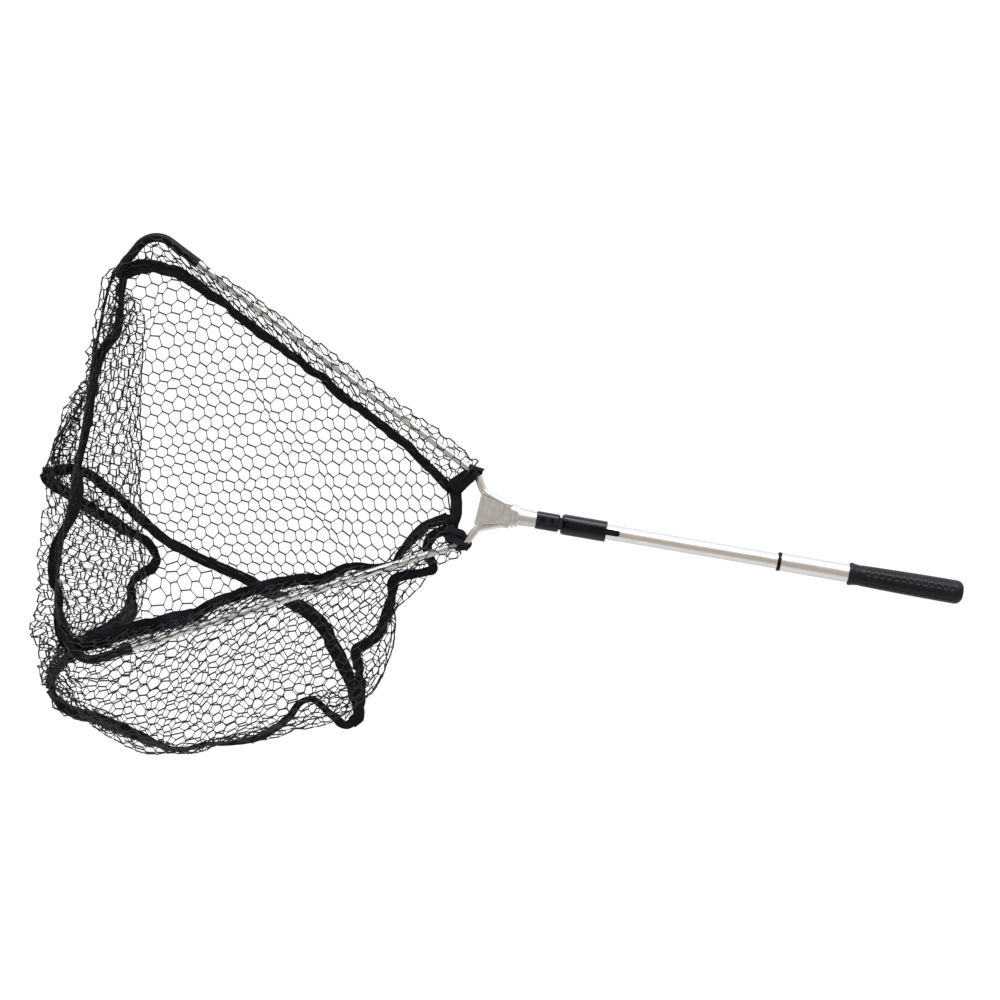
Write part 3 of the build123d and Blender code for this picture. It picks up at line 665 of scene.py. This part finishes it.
def on_bag(piece, *nodes):
    """The piece hangs on the head with a mesh of its own, and the named parts of the frame are hidden."""
    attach(piece, "head")
    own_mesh(piece)
    if nodes:
        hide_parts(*nodes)
    return piece


CREASES = [
    [(-0.960, 0.132), (-0.932, 0.100), (-0.890, 0.035), (-0.848, -0.035), (-0.815, -0.058), (-0.776, -0.104)],
    [(-0.888, 0.072), (-0.864, 0.043), (-0.837, 0.027), (-0.805, -0.027), (-0.778, -0.061), (-0.769, -0.102)],
    [(-1.094, 0.240), (-1.100, 0.225), (-1.104, 0.187), (-1.112, 0.150)],
]


def make_far_wall():
    lean, tall = math.radians(24), 0.90
    lines = [HEM_UPPER, CORNER_UPPER, BASE_UPPER[::-1], CORNER_YOKE[::-1]]
    sides = [(leaning(line, lean, tall), line) for line in lines]
    net = Netting(sides, turn=math.radians(-11), slack=1.0, laced=[1], seed=21, bow=0.2)
    net.stand_up(lean, tall)
    net.ruffle(0.0016, 0.07, 41)
    for line in CREASES:
        net.pinch(line, width=0.016, share=0.55, height=0.007)
    return net


def boxed(width, length, lines):
    """The sides of a rectangular cut, in order from its top left corner, tied to four lines."""
    corners = [(0, 0), (width, 0), (width, -length), (0, -length), (0, 0)]
    return [([a, b], line) for a, b, line in zip(corners, corners[1:], lines)]


LOWER_ROWS = [
    [(-1.156, 0.050, -0.303), (-1.110, 0.030, -0.318), (-1.050, 0.030, -0.306), (-0.980, 0.030, -0.275)]
    + [(-0.900, 0.030, -0.225), (-0.820, 0.030, -0.190), (-0.750, 0.030, -0.160), (-0.700, 0.026, -0.138)]
    + [(-0.680, 0.020, -0.120), (-0.682, 0.016, -0.105)],
    [(-1.160, 0.100, -0.319), (-1.115, 0.070, -0.355), (-1.050, 0.060, -0.366), (-0.980, 0.055, -0.350)]
    + [(-0.900, 0.052, -0.305), (-0.830, 0.050, -0.262), (-0.770, 0.050, -0.238), (-0.715, 0.055, -0.215)]
    + [(-0.690, 0.055, -0.185), (-0.709, 0.055, -0.165)],
    [(-1.158, 0.145, -0.335), (-1.118, 0.140, -0.368), (-1.080, 0.125, -0.384), (-1.040, 0.115, -0.401)]
    + [(-0.996, 0.110, -0.410), (-0.946, 0.105, -0.398), (-0.880, 0.105, -0.364), (-0.815, 0.105, -0.330)]
    + [(-0.765, 0.105, -0.318), (-0.715, 0.115, -0.298), (-0.698, 0.115, -0.262), (-0.697, 0.108, -0.232)]
    + [(-0.736, 0.116, -0.237)],
]


def make_lower_wall():
    lines = [HEM_LOWER, CORNER_YOKE, BASE_LOWER[::-1], CORNER_LOWER[::-1]]
    net = Netting(boxed(0.58, 0.35, lines), turn=0.15, slack=1.0, laced=[3], seed=22)
    net.lay([HEM_LOWER, *(seam(*row) for row in LOWER_ROWS), BASE_LOWER])
    net.ruffle(0.003, 0.08, 42)
    net.settle(6, brace=0.2)
    return net.ruffle(0.0008, 0.03, 52)


FRONT_ROWS = [
    [(-1.160, 0.050, 0.165), (-1.148, 0.030, 0.222), (-1.136, 0.030, 0.225), (-1.126, 0.040, 0.209)]
    + [(-1.116, 0.060, 0.153), (-1.105, 0.080, 0.098), (-1.091, 0.095, 0.044), (-1.078, 0.110, -0.025)]
    + [(-1.065, 0.125, -0.079), (-1.055, 0.125, -0.113), (-1.050, 0.115, -0.147), (-1.034, 0.105, -0.178)]
    + [(-1.024, 0.100, -0.208), (-1.044, 0.085, -0.238), (-1.095, 0.055, -0.270), (-1.140, 0.040, -0.291)]
    + [(-1.163, 0.052, -0.306)],
    [(-1.181, 0.112, 0.055), (-1.192, 0.130, 0.017), (-1.206, 0.145, -0.010), (-1.214, 0.145, -0.036)]
    + [(-1.214, 0.140, -0.066), (-1.206, 0.135, -0.097), (-1.208, 0.130, -0.152), (-1.210, 0.125, -0.197)]
    + [(-1.205, 0.120, -0.240), (-1.190, 0.120, -0.268), (-1.176, 0.120, -0.288), (-1.163, 0.125, -0.312)]
    + [(-1.160, 0.140, -0.332)],
]


def make_front_wall():
    lines = [HEM_FRONT[::-1], CORNER_UPPER, BASE_FRONT, CORNER_LOWER[::-1]]
    net = Netting(boxed(0.60, 0.44, lines), turn=0.05, slack=1.0, laced=[3], seed=23)
    net.lay([HEM_FRONT[::-1], *(seam(*row)[::-1] for row in FRONT_ROWS), BASE_FRONT[::-1]])
    net.ruffle(0.003, 0.06, 43)
    net.settle(5, brace=0.15)
    return net.ruffle(0.001, 0.028, 53)


def make_bottom():
    lines = [BASE_UPPER, BASE_FRONT, BASE_LOWER]
    lean, tall = 0.15, 0.9
    sides = [(leaning(line, lean, tall), line) for line in lines]
    net = Netting(sides, turn=0.3, slack=1.02, seed=24)
    net.stand_up(lean, tall)
    net.ruffle(0.003, 0.06, 44)
    return net.ruffle(0.0012, 0.03, 54)


PANELS = {
    "net_far_wall": (make_far_wall, (0.575, 0.370)),
    "net_lower_wall": (make_lower_wall, (0.58, 0.35)),
    "net_front_wall": (make_front_wall, (0.60, 0.44)),
    "net_bottom_panel": (make_bottom, (0.50, 0.25)),
}
for name, (make, flat) in PANELS.items():
    net = make()
    on_bag(net.piece(name + "_mesh"), name)

# ---------------- tapes
TAPE_WIDE = 0.0165
TAPE_THICK = 0.0014
TAPE_STEP = 0.0016  # from one section of a tape to the next
# a tape's section, in shares of half its width and of its thickness, with a welt along each edge
TAPE_SECTION = [(-1.0, 0.2), (-0.97, 0.42), (-0.86, 0.5), (-0.78, 0.36), (-0.70, 0.5)]
TAPE_SECTION += [(-0.35, 0.56), (0, 0.5)]
TAPE_SECTION += [(-a, b) for a, b in TAPE_SECTION[-2::-1]]
TAPE_SECTION += [(a, -b) for a, b in TAPE_SECTION[::-1]]


def uneven(draw, s, spacing, width):
    """A smooth random wave along s, with bumps about spacing apart and of that width."""
    wave = np.zeros_like(s)
    for _ in range(max(2, int(s[-1] / spacing))):
        middle, size = draw.uniform(-width, s[-1] + width), width * draw.uniform(0.6, 1.4)
        wave += draw.uniform(-1, 1) * np.exp(-(((s - middle) / size) ** 2))
    return wave


def swept_faces(count, per):
    """The faces of a form with count sections of per points each: its sides, and its two ends."""
    base = (np.arange(count - 1) * per)[:, None]
    sides = [base + [m, (m + 1) % per, per + (m + 1) % per, per + m] for m in range(per)]
    ends = [np.arange(per)[None, ::-1], np.arange(per)[None] + (count - 1) * per]
    return [np.vstack(sides), np.vstack(ends)]


def ribbon(name, line, facing, width=TAPE_WIDE, thick=TAPE_THICK, seed=1, rough=1.0):
    """A tape along a line whose flat side faces a direction, puckered and rolled a little.

    width is one number or several, evenly spaced along the tape.
    """
    count = max(12, int(long(line) / TAPE_STEP))
    p = resampled(line, count)
    draw = np.random.default_rng(seed)
    s = np.linspace(0, long(line), count)
    roll = rough * (0.42 * uneven(draw, s, 0.035, 0.016) + 0.2 * uneven(draw, s, 0.012, 0.006))
    lift = rough * (0.0016 * uneven(draw, s, 0.02, 0.012) + 0.0007 * uneven(draw, s, 0.006, 0.0035))
    sway = rough * 0.0012 * uneven(draw, s, 0.02, 0.012)
    edges = []
    for _ in range(2):
        ragged = 0.10 * uneven(draw, s, 0.02, 0.01) + 0.05 * uneven(draw, s, 0.006, 0.003)
        edges.append(1 + rough * ragged)
    cup = rough * 0.0011 * uneven(draw, s, 0.012, 0.008)
    tangent = unit(np.gradient(p, axis=0))
    facing = np.asarray(facing, float)
    face = np.broadcast_to(facing, p.shape) if facing.ndim == 1 else at(facing, np.linspace(0, 1, count))
    across = unit(np.cross(face, tangent))
    normal = np.cross(tangent, across)
    c, q = np.cos(roll)[:, None], np.sin(roll)[:, None]
    across, normal = across * c + normal * q, normal * c - across * q
    widths = np.interp(np.linspace(0, 1, count), np.linspace(0, 1, np.size(width)), np.atleast_1d(width))
    p = p + normal * lift[:, None] + across * sway[:, None]
    rows = []
    for a, b in TAPE_SECTION:
        wide = (a * widths / 2) * (edges[0] if a < 0 else edges[1])
        rows.append(p + across * wide[:, None] + normal * (b * thick + cup * (a * a - 0.3))[:, None])
    points = np.stack(rows, 1)
    piece = new_piece(name, points.reshape(-1, 3), swept_faces(count, len(TAPE_SECTION)), WEBBING)
    return piece


def lapped(line, other, share=0.03):
    """A line carried on a little way along another that starts where it ends."""
    return np.vstack([line, other[1 : max(3, int(share * len(other)))]])


MM = 0.001
corner_line = lapped(CORNER_YOKE, BASE_LOWER[::-1])
FRONT_WIDTHS = [13, 9, 14, 14, 12, 11, 9, 12, 14, 15, 14, 14, 12, 14, 16]
# each tape's line, facing, seed, roughness, and its widths in millimetres along it
TAPES = {
    "hem_tape_upper": (HEM_UPPER, (0, -1, 0), 3, 1.4, [14, 13, 13, 14, 12, 13, 13, 15, 18, 19]),
    "hem_tape_front": (HEM_FRONT, (0.5, -1, 0), 4, 1.0, FRONT_WIDTHS),
    "hem_tape_lower": (HEM_LOWER, (0, -1, -0.3), 5, 1.3, [16, 22, 24, 21, 15, 16, 18, 18, 11, 10, 15, 15]),
    "base_tape_upper": (BASE_UPPER, (0, -1, 0.2), 6, 1.2, [17, 19, 22, 21, 19, 16, 15, 15, 16, 16, 15, 18]),
    "base_tape_front": (BASE_FRONT, (-0.4, -1, 0), 7, 1.3, [20, 17, 17, 18, 14, 16, 17, 16, 14, 15, 14]),
    "base_tape_lower": (BASE_LOWER, (0, -1, -0.2), 8, 1.2, [12, 17, 18, 17, 9, 6.5, 7, 10, 12, 9, 12, 14]),
    "corner_tape": (corner_line, (0.2, -1, 0), 9, 1.3, [15, 14, 12, 16, 17, 17, 16, 17, 17]),
}
for name, (line, facing, seed, rough, widths) in TAPES.items():
    on_bag(ribbon(name + "_web", line, facing, MM * np.array(widths), seed=seed, rough=rough), name)
FOLDED_END = seam(
    (-1.064, 0.175, -0.205), (-1.066, 0.140, -0.226), (-1.078, 0.090, -0.247), (-1.099, 0.055, -0.265),
    (-1.122, 0.030, -0.279), (-1.146, 0.014, -0.288),
)
fold_widths = MM * np.array([12, 20, 26, 26, 22, 16])
on_bag(ribbon("corner_fold_web", FOLDED_END, (0, -1, -0.2), fold_widths, seed=10, rough=1.3))

# ---------------- sleeves round the arms
ARM_LINE = {
    1: [(-0.6275, 0, 0.0534), (-0.835, 0, 0.1608), (-1.052, 0, 0.273), (-1.093, 0, 0.2930)]
    + [(-1.113, 0, 0.2985), (-1.133, 0, 0.2905), (-1.147, 0, 0.2690), (-1.1650, 0, 0.2360)],
}
ARM_LINE[-1] = [(x, y, -z) for x, y, z in ARM_LINE[1]]


LOOPS, LOOP_STEPS = 60, 60  # loops of a sleeve's form along its core, and points in each


def sleeve(name, hem, core, seed, nodes, core_r=0.0095, proud=0.0115, turn=0.25):
    """Netting from the hem tape round the core and back to the tape, as a slack closed loop.

    proud, how far it stands past the core, is one number or several, evenly spaced along the core.
    """
    draw = np.random.default_rng(seed)
    core = spline(core)
    length = long(core)
    shares = np.linspace(0, 1, LOOPS)
    tall = np.linalg.norm(at(core, shares) - at(hem, shares), axis=1)
    wave = uneven(draw, shares * length, 0.03, 0.018)
    stand = np.interp(shares, np.linspace(0, 1, np.size(proud)), np.atleast_1d(proud))

    def loop(h, w, stand):
        far, depth = stand * (1 + 0.35 * w), core_r * (1 + 0.15 * w)
        half = far * 0.65
        return np.array(
            [(0, 0.0080), (0.35 * h, 0.001), (0.72 * h, -0.85 * depth), (h, -depth)]
            + [(h + half, -0.7 * depth), (h + far, 0), (h + half, 0.7 * depth), (h, depth)]
            + [(0.6 * h, 0.0106), (0, 0.0104)]
        )

    loops = [loop(h, w, far) for h, w, far in zip(tall, wave, stand)]
    round_it = np.array([long(one) for one in loops])
    low = np.stack([shares * length, -round_it], 1)
    sides = [([(0, 0), (length, 0)], None), ([(length, 0), low[-1]], None)]
    sides += [(low[::-1], None), ([low[0], (0, 0)], None)]
    blank = np.zeros((2, 3))
    net = Netting([(flat, blank) for flat, _ in sides], turn=turn, laced=[1, 3], seed=seed)
    u = np.clip(net.flat[:, 0] / length, 0, 1)
    v = np.clip(-net.flat[:, 1] / np.interp(u, shares, round_it), 0, 1)
    a, b = at(hem, u), at(core, u)
    up = unit(b - a)
    place = np.empty((len(u), 2))
    for k, (share, turned) in enumerate(zip(u, v)):
        j = share * (len(loops) - 1)
        i = min(int(j), len(loops) - 2)
        section = loops[i] * (i + 1 - j) + loops[i + 1] * (j - i)
        place[k] = at(resampled(section, LOOP_STEPS), turned)
    net.points = a + up * place[:, :1]
    net.points[:, 1] = place[:, 1]
    piece = net.piece(name)
    if nodes:
        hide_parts(*nodes)
    return piece


UPPER_STAND = MM * np.array([13, 19, 20, 19, 20, 20, 19, 18, 13, 7, 7, 7])
LOWER_STAND = MM * np.array([22, 14, 9, 8, 8, 8, 8, 9, 10, 10])
upper_sleeve = sleeve(
    "upper_net_sleeve_mesh", HEM_UPPER, ARM_LINE[1], 11, ["upper_net_sleeve"], proud=UPPER_STAND
)
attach(upper_sleeve, "upper_arm")
lower_sleeve = sleeve(
    "lower_net_sleeve_mesh", HEM_LOWER[::-1], ARM_LINE[-1], 12, ["lower_net_sleeve"], proud=LOWER_STAND
)
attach(lower_sleeve, "lower_arm")

CORD_R = 0.002
CORD_LINE = [(-1.1611, 0, 0.243), (-1.1684, 0, 0.2299), (-1.1724, 0, 0.190)]
CORD_LINE += [(-1.1738, 0, 0.125), (-1.173, 0, 0.062)]
CORD_LINE += [(-1.1725, 0, 0)] + [(x, y, -z) for x, y, z in CORD_LINE[::-1]]
thinner = {"core_r": 0.0085, "proud": 0.012, "turn": 0.1}
on_bag(sleeve("front_net_sleeve_mesh", HEM_FRONT, CORD_LINE, 13, ["front_net_sleeve"], **thinner))

BRAID_STEP = 0.0015  # from one section of the cord to the next
BRAID_RING = 16  # points in each section
BRAID_DEEP, BRAID_TURNS, BRAID_TWIST = 0.07, 4, 900  # the skin's relief, and its waves round and along


def braid(name, line, radius, finish):
    """A round cord of that line, with a braided skin."""
    count = int(long(line) / BRAID_STEP)
    p = resampled(line, count)
    tangent = unit(np.gradient(p, axis=0))
    side = unit(np.cross(tangent, [0, 1.0, 0]))
    other = np.cross(tangent, side)
    ring = BRAID_RING
    angles = np.arange(ring) * 2 * math.pi / ring
    s = np.arange(count)[:, None] * BRAID_STEP
    round_it, along = BRAID_TURNS * angles, s * BRAID_TWIST
    skin = 1 + BRAID_DEEP * np.abs(np.sin(round_it + along)) * np.abs(np.sin(round_it - along))
    points = p[:, None] + radius * skin[..., None] * (
        side[:, None] * np.cos(angles)[None, :, None] + other[:, None] * np.sin(angles)[None, :, None]
    )
    return new_piece(name, points.reshape(-1, 3), swept_faces(count, ring), finish)


cord = on_bag(braid("front_cord_braid", spline(CORD_LINE), CORD_R, WEBBING), "front_cord")

# ---------------- ties at the yoke
ARM_AWAY = np.array([0.459, 0.0, 0.888])  # square to the upper arm, outwards


def wrap(centre, away, start, end, radius=0.0072):
    """A path from start, before an arm, round the arm to end behind it, and its outward directions."""
    centre, away = np.array(centre), np.array(away)
    front = np.array([0, -1.0, 0])
    points, faces = [np.array(start)], [front]
    for degrees in (-20, 10, 40, 70, 90, 110, 140, 170, 200):
        a = math.radians(degrees)
        out = front * math.cos(a) + away * math.sin(a)
        points.append(centre + out * radius)
        faces.append(out)
    points.append(np.array(end))
    faces.append(-front)
    return spline(points), spline(faces)


def tie(name, body, path, facing, nodes=(), **shape):
    piece = ribbon(name, path, facing, **shape)
    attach(piece, body)
    if nodes:
        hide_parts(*nodes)
    return piece


path, facing = wrap((-0.6225, 0, 0.0515), ARM_AWAY, (-0.650, 0.001, 0.022), (-0.649, 0.011, 0.020))
tie("upper_tie_strap", "upper_arm", path, facing, ["upper_tie"], width=0.021, seed=31, rough=0.9)
LOWER_AWAY = ARM_AWAY * [1, 1, -1]
path, facing = wrap((-0.6260, 0, -0.0535), LOWER_AWAY, (-0.646, 0.001, -0.030), (-0.647, 0.011, -0.028))
tie("lower_tie_strap", "lower_arm", path, facing, ["lower_tie"], width=0.015, seed=32, rough=1.3)
gather = spline(
    [(-0.650, 0.006, 0.030), (-0.642, 0.004, 0.013), (-0.638, 0.003, -0.006), (-0.638, 0.004, -0.022)]
    + [(-0.640, 0.008, -0.036)]
)
tie("yoke_gather_tape", "head", gather, (0.3, -1, 0), width=0.0165, seed=33)
knot = spline(
    [(-0.646, 0.000, -0.034), (-0.633, -0.008, -0.035), (-0.620, -0.006, -0.041), (-0.614, 0.001, -0.050)]
    + [(-0.622, 0.010, -0.055), (-0.636, 0.011, -0.049), (-0.647, 0.002, -0.041), (-0.638, -0.010, -0.045)]
    + [(-0.624, -0.011, -0.050), (-0.612, -0.006, -0.054)]
)
tie("lower_knot_tape", "lower_arm", knot, (0, -1, 0.4), width=0.0115, seed=34, rough=1.8)

# ---------------- grip
# the grip's outside in millimetres, front to back: (place along the pole, radius)
GRIP_PROFILE = [(-82, 12.53), (-82, 14.8), (-81.3, 15.6), (-80.5, 15.9), (-77.5, 15.9)]
GRIP_PROFILE += [(-75.8, 15.4), (-73, 14.7), (-64, 14.6), (-40, 15.2), (-12, 15.8)]
GRIP_PROFILE += [(20, 16.3), (50, 16.6), (70, 16.6)]
DIMPLE_PITCH, DIMPLE_LONG, DIMPLE_WIDE, DIMPLE_DEEP = 0.0100, 0.0062, 0.0046, 0.0010
DIMPLE_ROWS = [math.radians(a) for a in (-42, -14, 14, 42, 138, 166, 194, 222)]
DIMPLE_EDGE, DIMPLE_AT_R = 0.0006, 0.0162  # width of its sloping edge, and the radius it's measured at
DIMPLED = (-0.058, 0.067)  # where the dimples start and end
GROOVES, GROOVE_WIDE, GROOVE_DEEP = (-0.0685, -0.0655), 0.0009, 0.0006
GROOVED_R = 0.0135  # only what is wider than this is grooved, so the bore isn't
GRIP_FRONT, GRIP_BUTT = -0.082, 0.081
BORE_END, BORE_R = 0.072, 0.01253
BUTT_START, BUTT_ROUND, BUTT_FLAT = 0.070, 0.011, 0.0056  # the butt's rounding and its flat's radius
OUTSIDE, GRIP_RING = 360, 168  # sections of the outside, and points in each


def make_grip():
    """The moulded grip: a flared rim, staggered rectangular dimples, a rounded butt and a blind bore."""
    outer = [(x / 1000, r / 1000) for x, r in GRIP_PROFILE]
    for k in range(1, 13):
        a = math.radians(7.5 * k)
        outer.append((BUTT_START + BUTT_ROUND * math.sin(a), BUTT_FLAT + BUTT_ROUND * math.cos(a)))
    outer = resampled(np.array(outer), OUTSIDE)
    inner = resampled(np.array([(BORE_END, 0.0), (BORE_END, BORE_R), (GRIP_FRONT, BORE_R)]), 40)[1:-1]
    line = np.vstack([outer, inner])
    ring = GRIP_RING
    angle = np.arange(ring) * 2 * math.pi / ring
    x, r = line[:, 0][:, None], line[:, 1][:, None]

    def soft(value, edge):
        return np.clip((edge - value) / DIMPLE_EDGE + 0.5, 0, 1)

    dimple = 0
    for k, row in enumerate(DIMPLE_ROWS):
        off_a = np.abs((angle - row + math.pi) % (2 * math.pi) - math.pi)[None] * DIMPLE_AT_R
        step = x / DIMPLE_PITCH - 0.5 * (k % 2)
        off_x = np.abs(step - np.round(step)) * DIMPLE_PITCH
        dimple = dimple + soft(off_x, DIMPLE_LONG / 2) * soft(off_a, DIMPLE_WIDE / 2)
    band = ((x > DIMPLED[0]) & (x < DIMPLED[1])) * (np.arange(len(line)) < OUTSIDE)[:, None]
    rings = sum(np.exp(-(((x - c) / GROOVE_WIDE) ** 2)) for c in GROOVES) * (r > GROOVED_R)
    depth = DIMPLE_DEEP * dimple * band + GROOVE_DEEP * rings
    radius = r - depth
    points = np.stack([x + 0 * radius, radius * np.cos(angle), radius * np.sin(angle)], -1)
    count = len(line)
    grid = points.reshape(-1, 3)
    base = (np.arange(count) * ring)[:, None]
    nxt = (np.roll(np.arange(count), -1) * ring)[:, None]
    quads = []
    for m in range(ring):
        n = (m + 1) % ring
        quads.append(np.hstack([base + m, base + n, nxt + n, nxt + m]))
    last = OUTSIDE - 1  # the outside's last section, which closes on the butt's middle
    joined = np.arange(count) != last
    quads = np.vstack(quads).reshape(ring, count, 4)[:, joined].reshape(-1, 4)
    tip = len(grid)
    grid = np.vstack([grid, [(GRIP_BUTT, 0, 0), (BORE_END, 0, 0)]])
    m = np.arange(ring)
    n = (m + 1) % ring
    butt = np.stack([last * ring + m, last * ring + n, np.full(ring, tip)], 1)
    bore_floor = np.stack([OUTSIDE * ring + n, OUTSIDE * ring + m, np.full(ring, tip + 1)], 1)
    piece = new_piece("grip_moulding", grid, [quads, np.vstack([butt, bore_floor])], GRIP_RUBBER)
    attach(piece, "handle")
    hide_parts("grip")


make_grip()

# ---------------- light and floor
WARM_BELOW, COOL_ABOVE = (0.47, 0.41, 0.36), (0.90, 0.96, 1.04)


def make_world():
    """Light that is warm from below and cool from above, with a plain white background behind."""
    world = bpy.data.worlds.new("studio")
    bpy.context.scene.world = world
    world.use_nodes = True
    tree = world.node_tree
    tree.nodes.clear()
    where = add_node(tree, "ShaderNodeTexCoord").outputs["Generated"]
    height = add_node(tree, "ShaderNodeSeparateXYZ", {0: where}).outputs["Z"]
    inputs = {"Value": height, "From Min": 0.25, "From Max": 0.70}
    band = add_node(tree, "ShaderNodeMapRange", inputs, interpolation_type="SMOOTHSTEP").outputs[0]
    colour = mixed_colour(tree, band, WARM_BELOW, COOL_ABOVE)
    lit = add_node(tree, "ShaderNodeBackground", {"Color": colour, "Strength": 1.0}).outputs[0]
    white = add_node(tree, "ShaderNodeBackground", {"Color": (1, 1, 1, 1), "Strength": 1.05}).outputs[0]
    ray = add_node(tree, "ShaderNodeLightPath").outputs["Is Camera Ray"]
    mix = add_node(tree, "ShaderNodeMixShader", {0: ray, 1: lit, 2: white}).outputs[0]
    add_node(tree, "ShaderNodeOutputWorld", {0: mix})


def make_light(name, place, target, size, power, colour=(1, 1, 1)):
    data = bpy.data.lights.new(name, "AREA")
    data.shape = "RECTANGLE"
    data.size, data.size_y = size
    data.energy = power
    data.color = colour
    light = bpy.data.objects.new(name, data)
    bpy.context.scene.collection.objects.link(light)
    light.location = place
    light.rotation_euler = (Vector(target) - Vector(place)).to_track_quat("-Z", "Y").to_euler()


def make_floor():
    x0, x1, y0, y1, low = -3.6, 2.4, -1.2, 3.0, -1.5
    points = [(x0, y0, low), (x1, y0, low), (x1, y1, low), (x0, y1, low)]
    f = Finish("floor", (0.74, 0.70, 0.66), 0.8)
    f.bump(f.noise(30.0), 0.02, 0.001)
    floor = new_piece("floor", points, [[(0, 1, 2, 3)]], f.material, smooth=False)


make_world()
make_light("key", (-0.6, -1.2, 2.4), (-0.5, 0, 0), size=(2.8, 1.0), power=60, colour=(0.85, 0.93, 1.0))
make_floor()
bpy.context.scene.view_settings.view_transform = "Standard"
